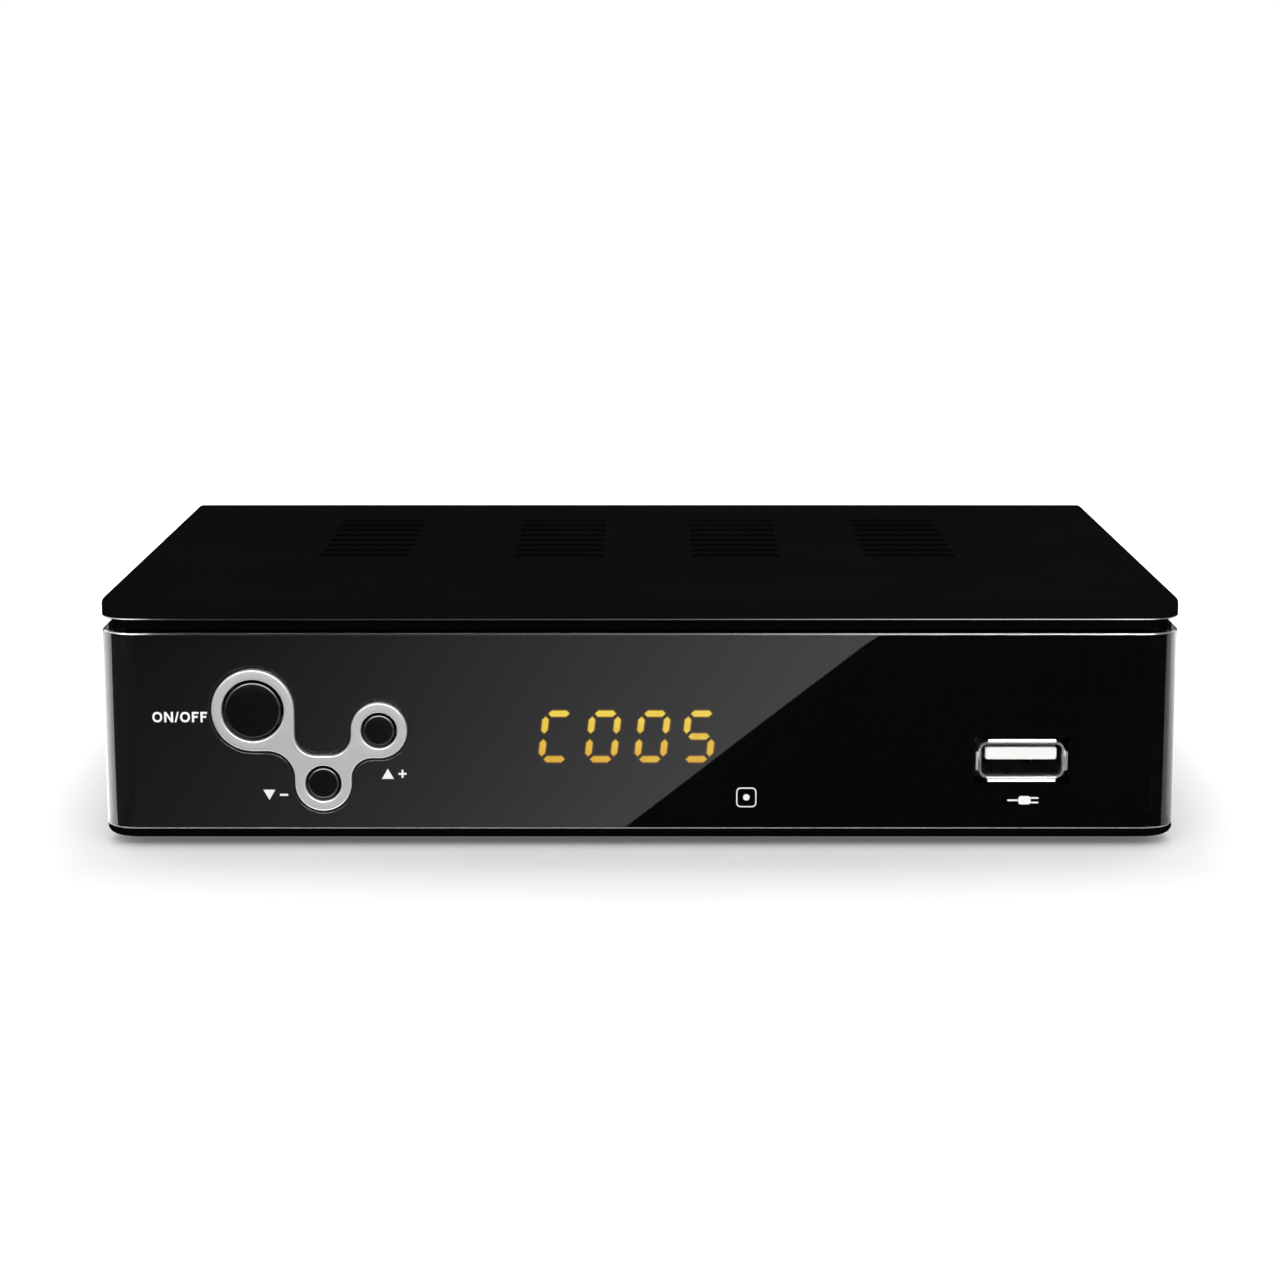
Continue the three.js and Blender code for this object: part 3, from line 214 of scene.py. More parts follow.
# Sheets that only reflections see stand in for a photographer's cards. Before the box lie a
# grey one that brightens towards a slanting line, a black one beyond that line, and a bright
# strip under the front edge; beside each front corner the floor is dark, then bright. A white
# card before the box lights the rims that face up, and a dark one stands behind it.
sheet_level = 0.0004
sheet_far = -0.262
slant_near = (-0.00245, -0.0694)
slant_far = (0.0565, sheet_far)
edge_near = (0.0845, -0.0694)
edge_far = (0.1175, sheet_far)
side_reach = 0.30
side_back = 0.10
grey_columns = np.linspace(0, 1, 9)
grey_near = (0.20, 0.94)
grey_far = (0.08, 1.16)
grey_power = 1.5
black_bright = 0.03
strip_bright = 6.0
# For each side: its sign, the depth where dark turns to bright, then the brightness before
# that turn, at it, and behind it
side_sheets = {"left": (-1, -0.056, 0.15, 2.8, 2.0), "right": (1, -0.092, 0.03, 0.8, 3.0)}
strip_near = fascia - 0.005
card_ends = np.array([[-1.6, 0.0, 0.0], [1.6, 0.0, 0.0]])
# Each card's share of that width, its foot, its head and its brightness
cards = {
    "white_card": (0.5, (0, -0.8, 0.35), (0, -0.6, 1.1), 9.0),
    "dark_card": (1.0, (0, 0.9, 0), (0, 0.9, 1.6), 0.01),
}


def mirror_sheet(name, near, far, brightness):
    """A strip of quads between two rows of points that only reflections see, shaded between
    the brightness at its points."""
    points = np.concatenate([near, far])
    i = np.arange(len(near) - 1)
    faces = np.stack([i, i + 1, i + 1 + len(near), i + len(near)], axis=1)
    mesh = bpy.data.meshes.new(name)
    mesh.from_pydata(points.tolist(), [], faces.tolist())
    shade = mesh.attributes.new("brightness", "FLOAT", "POINT")
    shade.data.foreach_set("value", np.broadcast_to(np.float32(brightness), len(points)).copy())
    material, tree = paint(name)
    show(tree, add(tree, "Emission", {"Strength": stored(tree, "brightness")}))
    mesh.materials.append(material)
    sheet = bpy.data.objects.new(name, mesh)
    sheet.visible_camera = sheet.visible_diffuse = False
    sheet.visible_shadow = sheet.visible_transmission = False
    scene.collection.objects.link(sheet)


def on_floor(*places):
    """Points at the height of the sheets on the floor."""
    return np.array([(x, y, sheet_level) for x, y in places])


mirror = np.array([-1, 1, 1])
left_near, left_far = on_floor(edge_near, edge_far) * mirror
ahead_near, ahead_far = on_floor(slant_near, slant_far)
share = grey_columns[:, None]
shade = grey_columns ** grey_power
mirror_sheet(
    "grey_sheet", left_near + share * (ahead_near - left_near), left_far + share * (ahead_far - left_far),
    np.concatenate([low + (high - low) * shade for low, high in (grey_near, grey_far)]),
)
mirror_sheet(
    "black_sheet", on_floor(slant_near, edge_near), on_floor(slant_far, edge_far), black_bright,
)
across = np.array([[-edge_near[0], 0.0, 0.0], [edge_near[0], 0.0, 0.0]])
mirror_sheet(
    "front_strip", across + [0, strip_near, sheet_level], across + [0, cad_high.y, sheet_level],
    strip_bright,
)
for label, (side, turn_y, before_bright, turn_bright, rear_bright) in side_sheets.items():
    way = np.array([side, 1, 1])
    corner, turn, rear = (edge_near[0], fascia), (side_reach, turn_y), (side_reach, side_back)
    mirror_sheet(
        f"dark_floor_{label}", on_floor(edge_near, edge_far, (side_reach, sheet_far)) * way,
        on_floor(corner, turn, turn) * way, before_bright,
    )
    mirror_sheet(
        f"bright_floor_{label}", on_floor(corner, turn) * way,
        on_floor((edge_near[0], side_back), rear) * way,
        [turn_bright, turn_bright, rear_bright, rear_bright],
    )
for name, (size, foot, head, brightness) in cards.items():
    mirror_sheet(name, size * card_ends + foot, size * card_ends + head, brightness)


# ---------------------------------------------------------------- top cover
# One black moulded lid: a plate with a skirt, rounded at the front corners and along the
# upper edge, cut off square at the rear. Four groups of eight slots let the heat out,
# and four posts under it take the case screws.
half_width = 82.5
case_depth = 108.0
case_height = 38.5
corner_radius = 5.5
corner_steps = 20
least_radius = 0.2
flat_margin = 1e-7
join_distance = 2e-7
speck_length = 1e-8


def arc(x, y, radius, start, end, steps):
    """Points on a circle from one quarter turn to another, both ends included."""
    angle = np.linspace(start, end, steps + 1) * math.pi / 2
    return np.stack([x + radius * np.cos(angle), y + radius * np.sin(angle)], axis=1)


def front_path(inset, rear):
    """The case's plan line from the rear on the left round the front to the rear on the right:
    straight sides, and a quarter circle at each front corner, all drawn in by the inset."""
    side = half_width - inset
    radius = max(corner_radius - inset, least_radius)
    return np.concatenate([
        [[-side, rear]],
        arc(radius - side, inset + radius, radius, 2, 3, corner_steps),
        arc(side - radius, inset + radius, radius, 3, 4, corner_steps),
        [[side, rear]],
    ])


def round_edge(radius, steps):
    """A quarter round as pairs of inset and rise: from full inset at no rise to no inset at full."""
    angle = np.linspace(0, math.pi / 2, steps + 1)
    return np.stack([radius * (1 - np.sin(angle)), radius * (1 - np.cos(angle))], axis=1)


def grid(points, ring=False):
    """Points on a grid of rows and columns with the quads between them; a ring joins the last
    column to the first."""
    rows, columns = points.shape[:2]
    row = np.arange(rows - 1)[:, None]
    column = np.arange(columns if ring else columns - 1)[None, :]
    after = (column + 1) % columns
    quads = np.stack([
        row * columns + column, row * columns + after,
        (row + 1) * columns + after, (row + 1) * columns + column,
    ], axis=-1)
    return points.reshape(-1, 3), quads.reshape(-1, 4).tolist()


def inside(loop, points):
    """Which points lie inside a closed loop: those from which a ray crosses it an odd number of times."""
    ends = np.roll(loop, -1, axis=0)
    x, y = points[:, :1], points[:, 1:]
    spans = (loop[:, 1] > y) != (ends[:, 1] > y)
    rise = np.where(ends[:, 1] == loop[:, 1], 1.0, ends[:, 1] - loop[:, 1])
    crossing = loop[:, 0] + (y - loop[:, 1]) * (ends[:, 0] - loop[:, 0]) / rise
    return (np.sum(spans & (x < crossing), axis=1) % 2) == 1


def fill(loops, placed):
    """A flat face inside the first loop and outside the others, as triangles. placed turns the
    loops' two coordinates into points in space."""
    flat = np.concatenate(loops)
    starts = np.cumsum([0] + [len(loop) for loop in loops])
    edges = np.concatenate([
        np.stack([start + np.arange(len(loop)), start + (np.arange(len(loop)) + 1) % len(loop)], axis=1)
        for start, loop in zip(starts, loops)
    ])
    found, _, faces, _, _, _ = delaunay_2d_cdt([Vector(p) for p in flat], edges.tolist(), [], 1, flat_margin)
    found = np.array(found, float)
    faces = np.array(faces)
    middle = found[faces].mean(axis=1)
    kept = inside(loops[0], middle)
    for hole in loops[1:]:
        kept &= ~inside(hole, middle)
    return placed(found), faces[kept].tolist()


def one_face(points):
    """A single face on a closed row of points."""
    return points, [list(range(len(points)))]


def level(height):
    """Places plan points at a height."""
    return lambda p: np.column_stack([p[:, 0], p[:, 1], np.full(len(p), height)])


def behind(depth):
    """Places front view points at a depth behind the fascia."""
    return lambda p: np.column_stack([p[:, 0], np.full(len(p), depth), p[:, 1]])


def sweep_path(profile, rear):
    """Each pair of inset and height carried along the plan line of that inset."""
    return np.stack([level(height)(front_path(inset, rear)) for inset, height in profile])


def grown(loop, amount):
    """A loop stretched about its middle, so that it reaches further by the amount each way."""
    centre = (loop.max(axis=0) + loop.min(axis=0)) / 2
    reach = np.abs(loop - centre).max(axis=0)
    return centre + (loop - centre) * (1 + amount / reach)


def hole_walls(loop, steps, placed_at):
    """The wall of a hole: the loop grown by each step's amount, placed at that step's level."""
    return grid(np.stack([placed_at(at)(grown(loop, amount)) for amount, at in steps]), ring=True)


def circle(x, z, radius, sides=64):
    """A closed loop round a point."""
    angle = np.linspace(0, 2 * math.pi, sides, endpoint=False)
    return np.stack([x + radius * np.cos(angle), z + radius * np.sin(angle)], axis=1)


def turned(profile, x, z, sides=64, placed_at=behind):
    """A profile of pairs of radius and depth, turned about a line that runs front to back, or
    with level instead of behind, of radius and height about an upright line."""
    rings = [placed_at(at)(circle(x, z, radius, sides)) for radius, at in profile]
    return grid(np.stack(rings), ring=True)


def piece(name, parts, body, material, stands_for=(), crease=35.0):
    """A named piece from parts in millimetres, measured behind the fascia. Points that meet are
    joined, normals point outwards, and an edge is a crease where its faces turn by more than
    the angle; elsewhere the shading runs on smoothly, weighted by the faces' areas."""
    points = np.concatenate([p for p, _ in parts]) * MM + [0.0, fascia, 0.0]
    starts = np.cumsum([0] + [len(p) for p, _ in parts])
    faces = [[start + i for i in face] for start, (_, part) in zip(starts, parts) for face in part]
    mesh = bpy.data.meshes.new(name)
    mesh.from_pydata(points.tolist(), [], faces)
    work = bmesh.new()
    work.from_mesh(mesh)
    bmesh.ops.remove_doubles(work, verts=work.verts, dist=join_distance)
    bmesh.ops.dissolve_degenerate(work, dist=speck_length, edges=work.edges)
    bmesh.ops.recalc_face_normals(work, faces=work.faces)
    for face in work.faces:
        face.smooth = True
    for edge in work.edges:
        edge.smooth = edge.is_manifold and edge.calc_face_angle() <= math.radians(crease)
    work.to_mesh(mesh)
    work.free()
    made = bpy.data.objects.new(name, mesh)
    scene.collection.objects.link(made)
    weights = made.modifiers.new("weighted_normals", "WEIGHTED_NORMAL")
    weights.keep_sharp = True
    mesh.materials.append(material)
    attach(made, body)
    if stands_for:
        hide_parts(*stands_for)
    return made


def shader_group(name, inputs, outputs):
    """An empty node group with named sockets: (name, type, default) for each input."""
    group = bpy.data.node_groups.new(name, "ShaderNodeTree")
    for label, kind, value in inputs:
        socket = group.interface.new_socket(label, in_out="INPUT", socket_type=kind)
        if value is not None:
            socket.default_value = value
    for label, kind in outputs:
        group.interface.new_socket(label, in_out="OUTPUT", socket_type=kind)
    return group, group.nodes.new("NodeGroupInput"), group.nodes.new("NodeGroupOutput")


# Surface grain: fine pits at one scale over a slow swell at another, for bump height, and
# a slow drift of tone and shine where hands have been
grain_strength = 0.35
grain, given, made = shader_group(
    "surface_grain",
    [("Coordinates", "NodeSocketVector", None), ("Pits per metre", "NodeSocketFloat", 2600.0),
     ("Swell", "NodeSocketFloat", 0.25), ("Roughness", "NodeSocketFloat", 0.5),
     ("Drift", "NodeSocketFloat", 0.08)],
    [("Height", "NodeSocketFloat"), ("Roughness", "NodeSocketFloat"), ("Tone", "NodeSocketFloat")],
)
given = given.outputs
pits, swell, touch = [
    add(grain, "TexNoise", {"Vector": given["Coordinates"], "Scale": scale, "Detail": detail}).outputs["Fac"]
    for scale, detail in ((given["Pits per metre"], 3.0), (60.0, 2.0), (24.0, 4.0))
]
off_middle = calc(grain, "SUBTRACT", touch, 0.5)
drift = calc(grain, "MULTIPLY", off_middle, given["Drift"])
for label, value in (
    ("Height", calc(grain, "ADD", pits, calc(grain, "MULTIPLY", swell, given["Swell"]))),
    ("Roughness", calc(grain, "ADD", given["Roughness"], drift)),
    ("Tone", calc(grain, "ADD", calc(grain, "MULTIPLY", off_middle, 0.5), 1.0)),
):
    grain.links.new(value, made.inputs[label])


def finish(name, colour, roughness, pits_per_metre=2600.0, drift=0.08, depth=0.02,
           stretch=(1.0, 1.0, 1.0), **sockets):
    """A finish: its colour drifts a little in tone, its grain gives the bump and its shine
    drifts with it. A stretch below 1 draws the grain out into lines along that axis. Further
    sockets of the shader are set by name."""
    material, tree = paint(name)
    drawn = add(tree, "Mapping", {"Vector": own_place(tree), "Scale": stretch})
    surface = add(tree, "Group", {
        "Coordinates": drawn.outputs[0], "Pits per metre": pits_per_metre,
        "Roughness": roughness, "Drift": drift,
    }, node_tree=grain).outputs
    show(tree, add(tree, "BsdfPrincipled", {
        "Base Color": mixed(tree, 1.0, (*colour, 1.0), surface["Tone"], "MULTIPLY"),
        "Roughness": surface["Roughness"],
        "Normal": bumped(tree, surface["Height"], grain_strength, depth),
        **{label.replace("_", " "): value for label, value in sockets.items()},
    }))
    return material


def feed(material, label, value):
    """Links a value to a socket of a finish's shader."""
    tree = material.node_tree
    tree.links.new(value, tree.nodes["Principled BSDF"].inputs[label])


def zone(tree, axis, low, high, within, outside):
    """A value that is one number where the object's coordinate lies between two places in
    metres, and another elsewhere."""
    place = own_axis(tree, axis)
    over = calc(tree, "GREATER_THAN", place, low)
    both = calc(tree, "MULTIPLY", over, calc(tree, "LESS_THAN", place, high))
    return calc(tree, "ADD", calc(tree, "MULTIPLY", both, within - outside), outside)


black_case = finish(
    "black_case", (0.0044, 0.0044, 0.0046), 0.5, Specular_IOR_Level=0.0,
    Coat_Roughness=0.12, Coat_IOR=1.6,
)

lid_plate = 1.8
lid_skirt = 1.2
lid_edge_height = 3.1
lid_edge_radius = 1.2
lid_lower_radius = 0.25
lid_polish = 0.8
polish_margin = 0.1
lid_bottom = case_height - lid_edge_height
lid_underside = case_height - lid_plate
group_places = (-45.8, -13.45, 16.1, 44.9)
slots_in_group = 8
slot_length = 14.7
slot_width = 3.9
slot_pitch = 5.9
slots_centre = 66.58
slot_chamfer = 0.12
post_x = 73.5
post_depths = (17.0, 88.0)
post_radius = 3.6
post_bore = 1.7
post_joint = 20.1
post_sunk = 0.5
post_sides = 48


def rectangle(x_low, x_high, y_low, y_high):
    """The four corners of a rectangle, as a loop."""
    return np.array([[x_low, y_low], [x_high, y_low], [x_high, y_high], [x_low, y_high]], float)


lower_round = round_edge(lid_lower_radius, steps=5)
upper_round = round_edge(lid_edge_radius, steps=12)[::-1]
lid_profile = np.concatenate([
    np.column_stack([lower_round[:, 0], lid_bottom + lower_round[:, 1]]),
    np.column_stack([upper_round[:, 0], case_height - upper_round[:, 1]]),
])
lid_skin = sweep_path(lid_profile, case_depth)
inner_line = front_path(lid_skirt, case_depth - lid_skirt)
slot_loops = [
    rectangle(x - slot_length / 2, x + slot_length / 2, y - slot_width / 2, y + slot_width / 2)
    for x in group_places
    for y in slots_centre + slot_pitch * (np.arange(slots_in_group) - (slots_in_group - 1) / 2)
]
slot_mouths = [grown(loop, slot_chamfer) for loop in slot_loops]
slot_steps = [(slot_chamfer, case_height), (0.0, case_height - slot_chamfer), (0.0, lid_underside)]
rear_outline = np.concatenate([lid_skin[:, 0], lid_skin[::-1, -1]])
post_end = lid_underside + post_sunk
post_profile = [
    (post_bore, post_joint), (post_radius, post_joint), (post_radius, post_end),
    (post_bore, post_end), (post_bore, post_joint),
]
lid_parts = [
    grid(lid_skin),
    one_face(rear_outline),
    fill([front_path(lid_edge_radius, case_depth), *slot_mouths], level(case_height)),
    fill([front_path(lid_lower_radius, case_depth), inner_line], level(lid_bottom)),
    grid(np.stack([level(lid_bottom)(inner_line), level(lid_underside)(inner_line)]), ring=True),
    fill([inner_line, *slot_loops], level(lid_underside)),
    *[hole_walls(loop, slot_steps, level) for loop in slot_loops],
    *[turned(post_profile, x, y, post_sides, level) for x in (-post_x, post_x) for y in post_depths],
]
polished = (MM * (lid_bottom - polish_margin), MM * (lid_bottom + lid_lower_radius))
feed(black_case, "Coat Weight", zone(black_case.node_tree, "Z", *polished, lid_polish, 0.0))
piece("lid", lid_parts, "housing", black_case, ["top_cover"])


# ---------------------------------------------------------------- bottom cover and frame
# The base is one black moulding: floor, side walls, screw posts, and ribs that hold the rear
# panel. Its lip under the window is matte, its sides have a slight sheen. A black frame
# behind the window shuts off the view inside.
def dress(name, material):
    """Gives a carried-over node its material in every slot."""
    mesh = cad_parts[name].data
    mesh.materials.clear()
    mesh.materials.append(material)


base_sheen = 0.35
lip_depth = 8.0
base_plastic = finish(
    "base_plastic", (0.0024, 0.0024, 0.0025), 0.55, pits_per_metre=2200.0,
    Specular_IOR_Level=0.0, Coat_Roughness=0.4,
)
sheen = zone(
    base_plastic.node_tree, "Y", fascia + lip_depth * MM, cad_high.y + MM, base_sheen, 0.0,
)
feed(base_plastic, "Coat Weight", sheen)
dress("bottom_cover", base_plastic)
dress("front_frame", finish("frame_plastic", (0.003, 0.003, 0.003), 0.7, Specular_IOR_Level=0.0))


# ---------------------------------------------------------------- front window
# One smoked acrylic moulding, polished like glass, wraps round both corners and is pierced
# for the buttons and the USB socket. Its flat back is printed black except before the display.
# A bright band that only reflections see lights both sides of the groove above it.
window_bottom, window_top = (corner.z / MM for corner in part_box("front_window"))
window_thickness = 2.0
window_edge = 0.4
window_return = 10.0
sleeve_wall = 0.6
fit_gap = 0.3
pocket_gap = 0.4
pocket_depth = 0.35
pocket_edge = 0.2
usb_width = 12.35
usb_height = 4.9
usb_sheet = 0.35
usb_flare = 0.55
usb_gap = 0.25
inner_fillet = 3.182
outer_fillet = 4.214
ring_quarter = 16
fillet_quarter = 10


def middle_of(node):
    """The middle of a node's front view in millimetres: across, and above the table."""
    low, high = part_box(node)
    return (low.x + high.x) / 2 / MM, (low.z + high.z) / 2 / MM


button_sizes = {
    "power": (6.3, 4.75, 4.35), "channel_down": (4.3, 2.76, 2.42), "channel_up": (4.3, 2.76, 2.42),
}
button_places = {name: middle_of(f"{name}_button") for name in button_sizes}
usb_x, usb_z = middle_of("usb_shell")
usb_reach = usb_sheet + usb_flare + usb_gap


def trim_outline():
    """The trim's outline as arcs in a row: power ring, fillet, fillet, upper ring, fillet,
    lower ring, fillet, each ending where the next begins, on a line that touches both."""
    (px, pz), (dx, dz), (ux, uz) = button_places.values()
    (pr, _, _), (cr, _, _), _ = button_sizes.values()
    left, right, top = dx - cr, dx + cr, dz + cr
    loop = np.concatenate([
        arc(px, pz, pr, 3, 0, 3 * ring_quarter),
        arc(left + inner_fillet, top + inner_fillet, inner_fillet, 2, 3, fillet_quarter),
        arc(right - inner_fillet, top + inner_fillet, inner_fillet, 3, 4, fillet_quarter),
        arc(ux, uz, cr, 2, -1, 3 * ring_quarter),
        arc(right + inner_fillet, uz - cr - inner_fillet, inner_fillet, 1, 2, fillet_quarter),
        arc(dx, dz, cr, 0, -2, 2 * ring_quarter),
        arc(left - outer_fillet, pz - pr - outer_fillet, outer_fillet, 0, 1, fillet_quarter),
    ])
    return loop[np.linalg.norm(loop - np.roll(loop, 1, axis=0), axis=1) > 1e-4]


def drawn_in(loop, amount):
    """A clockwise loop moved inwards along its own normals, which are the chords' normals."""
    along = np.roll(loop, -1, axis=0) - np.roll(loop, 1, axis=0)
    along /= np.linalg.norm(along, axis=1, keepdims=True)
    return loop + amount * np.stack([along[:, 1], -along[:, 0]], axis=1)


outline = trim_outline()
lip = round_edge(pocket_edge, steps=5)
pocket_rows = np.stack([
    *[behind(rise)(drawn_in(outline, -pocket_gap - inset)) for inset, rise in lip],
    behind(pocket_depth)(drawn_in(outline, -pocket_gap)),
])
usb_cut = rectangle(
    usb_x - usb_width / 2 - usb_reach, usb_x + usb_width / 2 + usb_reach,
    usb_z - usb_height / 2 - usb_reach, usb_z + usb_height / 2 + usb_reach,
)
front_holes = [drawn_in(outline, -pocket_gap - pocket_edge), usb_cut]
button_cuts = [
    circle(*button_places[name], hole + sleeve_wall + fit_gap)
    for name, (_, hole, _) in button_sizes.items()
]
edge_round = round_edge(window_edge, steps=6)
lower_rows = np.column_stack([edge_round[:, 0], window_bottom + edge_round[:, 1]])
upper_rows = np.column_stack([edge_round[::-1, 0], window_top - edge_round[::-1, 1]])
upright_rows = np.stack([lower_rows[-1], upper_rows[0]])
inner_rows = np.array([(window_thickness, window_bottom), (window_thickness, window_top)])
upright = sweep_path(upright_rows, window_return)
inner = sweep_path(inner_rows, window_return)
corner_points = corner_steps + 2
straight = half_width - corner_radius
rim = np.concatenate([lower_rows, upper_rows, inner_rows[::-1]])
rim_ends = sweep_path(rim, window_return)
window_parts = [
    grid(sweep_path(lower_rows, window_return)),
    grid(sweep_path(upper_rows, window_return)),
    grid(upright[:, :corner_points]), grid(upright[:, -corner_points:]),
    grid(inner[:, :corner_points]), grid(inner[:, -corner_points:]),
    fill([rectangle(-straight, straight, upright_rows[0, 1], upright_rows[1, 1]), *front_holes],
         behind(0.0)),
    fill([rectangle(-straight, straight, window_bottom, window_top), *button_cuts, usb_cut],
         behind(window_thickness)),
    grid(pocket_rows, ring=True),
    fill([drawn_in(outline, -pocket_gap), *button_cuts], behind(pocket_depth)),
    *[hole_walls(loop, [(0.0, pocket_depth), (0.0, window_thickness)], behind) for loop in button_cuts],
    hole_walls(usb_cut, [(0.0, 0.0), (0.0, window_thickness)], behind),
    *[grid(sweep_path(np.stack([outside, within]), window_return))
      for outside, within in ((lower_rows[0], inner_rows[0]), (upper_rows[-1], inner_rows[1]))],
    one_face(rim_ends[:, 0]), one_face(rim_ends[:, -1]),
]
window_coat = 0.8
window_tint = 0.75
band_front = 1.2
band_low = 33.3
band_high = 35.6
band_steps = 60
print_margin = 0.01
# Places along the band, and its brightness at each
band_places = (-83.7, -81.0, -80.0, -77.3, -76.3, -74.5, -70.5, -50.0, -22.0, 9.0, 25.0, 40.0,
               60.0, 70.0, 75.0, 78.6, 79.4, 80.2, 83.7)
band_bright = (5.0, 12.0, 35.0, 32.0, 12.0, 4.0, 0.6, 0.6, 1.3, 3.3, 8.0, 14.0,
               20.0, 22.0, 34.0, 26.0, 14.0, 4.0, 3.0)
smoked_acrylic = finish(
    "smoked_acrylic", (0.0012, 0.0012, 0.0013), 0.015, pits_per_metre=40.0, drift=0.01,
    depth=0.002, IOR=1.49, Coat_Roughness=0.0, Coat_IOR=1.5,
)
tree = smoked_acrylic.node_tree
back = stored(tree, "back")
outer = calc(tree, "SUBTRACT", 1.0, back)
shown_low, shown_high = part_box("display_housing")
flat_part = zone(tree, "X", -straight * MM, straight * MM, 1.0, 0.0)
clear = zone(tree, "X", shown_low.x, shown_high.x, 1.0, 0.0)
printed = calc(tree, "MULTIPLY", back, calc(tree, "SUBTRACT", flat_part, clear))
tint = calc(tree, "MULTIPLY", outer, window_tint)
feed(smoked_acrylic, "Metallic", back)
feed(smoked_acrylic, "Coat Weight", calc(tree, "MULTIPLY", outer, window_coat))
feed(smoked_acrylic, "Alpha", calc(tree, "ADD", tint, printed))
window = piece("window", window_parts, "housing", smoked_acrylic, ["front_window"])


def points_of(made):
    """The points of a piece in millimetres, one row each, measured behind the fascia."""
    flat = np.empty(3 * len(made.data.vertices))
    made.data.vertices.foreach_get("co", flat)
    return (flat.reshape(-1, 3) - [0.0, fascia, 0.0]) / MM


def mark_points(made, name, marked):
    """Stores 1 at a piece's marked points and 0 at the others, for its material to read."""
    values = made.data.attributes.new(name, "FLOAT", "POINT").data
    values.foreach_set("value", marked.astype(np.float32))


at = points_of(window)
to_side = np.maximum(np.abs(at[:, 0]) - straight, 0.0)
to_front = np.maximum(corner_radius - at[:, 1], 0.0)
wall = corner_radius - np.hypot(to_side, to_front)
mark_points(window, "back", wall > window_thickness - print_margin)
bent = front_path(-band_front, case_depth)
run = np.linspace(-straight, straight, band_steps)[1:-1]
band = np.concatenate([
    bent[1:corner_points], np.column_stack([run, np.full(len(run), -band_front)]),
    bent[-corner_points:-1],
])
shade = np.interp(band[:, 0], band_places, band_bright)
band = np.array([0, fascia, 0]) + MM * np.column_stack([band, np.zeros(len(band))])
mirror_sheet(
    "groove_band", band + [0, 0, band_low * MM], band + [0, 0, band_high * MM],
    np.concatenate([shade, shade]),
)


# ---------------------------------------------------------------- button trim
# A satin silver plate moulded as three rings: the outline runs along the rings' common
# tangents, with round fillets where they meet. Behind each ring a sleeve goes through the
# window. The plate's edges are rounded and catch the light; its face is sandblasted.
trim_thickness = 0.6
trim_round = 0.25
hole_sides = 96
trim_edge = round_edge(trim_round, steps=6)
trim_rows = np.stack([
    behind(rise - trim_thickness)(drawn_in(outline, inset)) for inset, rise in trim_edge
] + [behind(pocket_depth)(outline)])
button_holes, sleeves = [
    {name: circle(*button_places[name], hole + wall, hole_sides)
     for name, (_, hole, _) in button_sizes.items()}
    for wall in (0.0, sleeve_wall)
]
hole_steps = [(inset, rise - trim_thickness) for inset, rise in trim_edge] + [(0.0, window_thickness)]
mouths = [grown(loop, trim_round) for loop in button_holes.values()]
trim_parts = [
    grid(trim_rows, ring=True),
    fill([drawn_in(outline, trim_round), *mouths], behind(-trim_thickness)),
    fill([outline, *sleeves.values()], behind(pocket_depth)),
    *[hole_walls(loop, hole_steps, behind) for loop in button_holes.values()],
    *[hole_walls(loop, [(0.0, pocket_depth), (0.0, window_thickness)], behind)
      for loop in sleeves.values()],
    *[fill([sleeves[name], button_holes[name]], behind(window_thickness)) for name in sleeves],
]
satin_silver = finish(
    "satin_silver", (0.50, 0.50, 0.505), 0.36, pits_per_metre=5200.0, drift=0.1, depth=0.012,
    Metallic=0.5,
)
piece("trim", trim_parts, "housing", satin_silver, ["button_trim"])


# ---------------------------------------------------------------- buttons
# Three glossy black caps, turned parts in shape: a faintly domed face, a rounded edge, a
# flange that stops behind the frame, and a stem that meets the switch's plunger. Only the
# rounded edge is lacquered.
cap_face = -0.45
cap_round = 0.35
cap_dome = 0.08
flange_width = 1.2
flange_front = 4.4
flange_back = 5.1
stem_radius = 1.5
stem_back = 5.8
cap_sides = 72
rim_margin = 1e-3
gloss_black = finish(
    "gloss_black", (0.0035, 0.0035, 0.0035), 0.12, pits_per_metre=60.0, drift=0.03, depth=0.003,
    Specular_IOR_Level=0.12, Coat_Roughness=0.06, Coat_IOR=1.7,
)
feed(gloss_black, "Coat Weight", stored(gloss_black.node_tree, "rim"))
dome_share = np.linspace(0, 1, 8)
for name, (_, _, cap) in button_sizes.items():
    crown = cap - cap_round
    face = np.column_stack([crown * dome_share, cap_face + cap_dome * (dome_share ** 2 - 1)])
    shoulder = round_edge(cap_round, steps=8)[1:]
    cap_profile = [
        *face, *np.column_stack([cap - shoulder[:, 0], cap_face + shoulder[:, 1]]),
        (cap, flange_front), (cap + flange_width, flange_front), (cap + flange_width, flange_back),
        (stem_radius, flange_back), (stem_radius, stem_back), (0.0, stem_back),
    ]
    cap_piece = piece(
        f"{name}_cap", [turned(cap_profile, *button_places[name], cap_sides)], f"{name}_button",
        gloss_black, [f"{name}_button"],
    )
    at = points_of(cap_piece)
    x, z = button_places[name]
    mark_points(cap_piece, "rim", np.hypot(at[:, 0] - x, at[:, 2] - z) > crown + rim_margin)


# ---------------------------------------------------------------- display
# A moulded reflector block behind the window has a slanted opening and a tinted diffuser for
# each segment of its four digits, which stand in two pairs. The lit diffusers shine evenly in
# the middle and fall off to a dark brown rim.
digit_places = (-10.93, -3.79, 3.79, 10.93)
digit_width = 6.0
digit_height = 8.3
digit_slant = 0.11
segment_width = 1.16
segment_gap_flat = 0.5
segment_gap_upright = 0.72
segment_front = 2.2
segment_back = 2.27
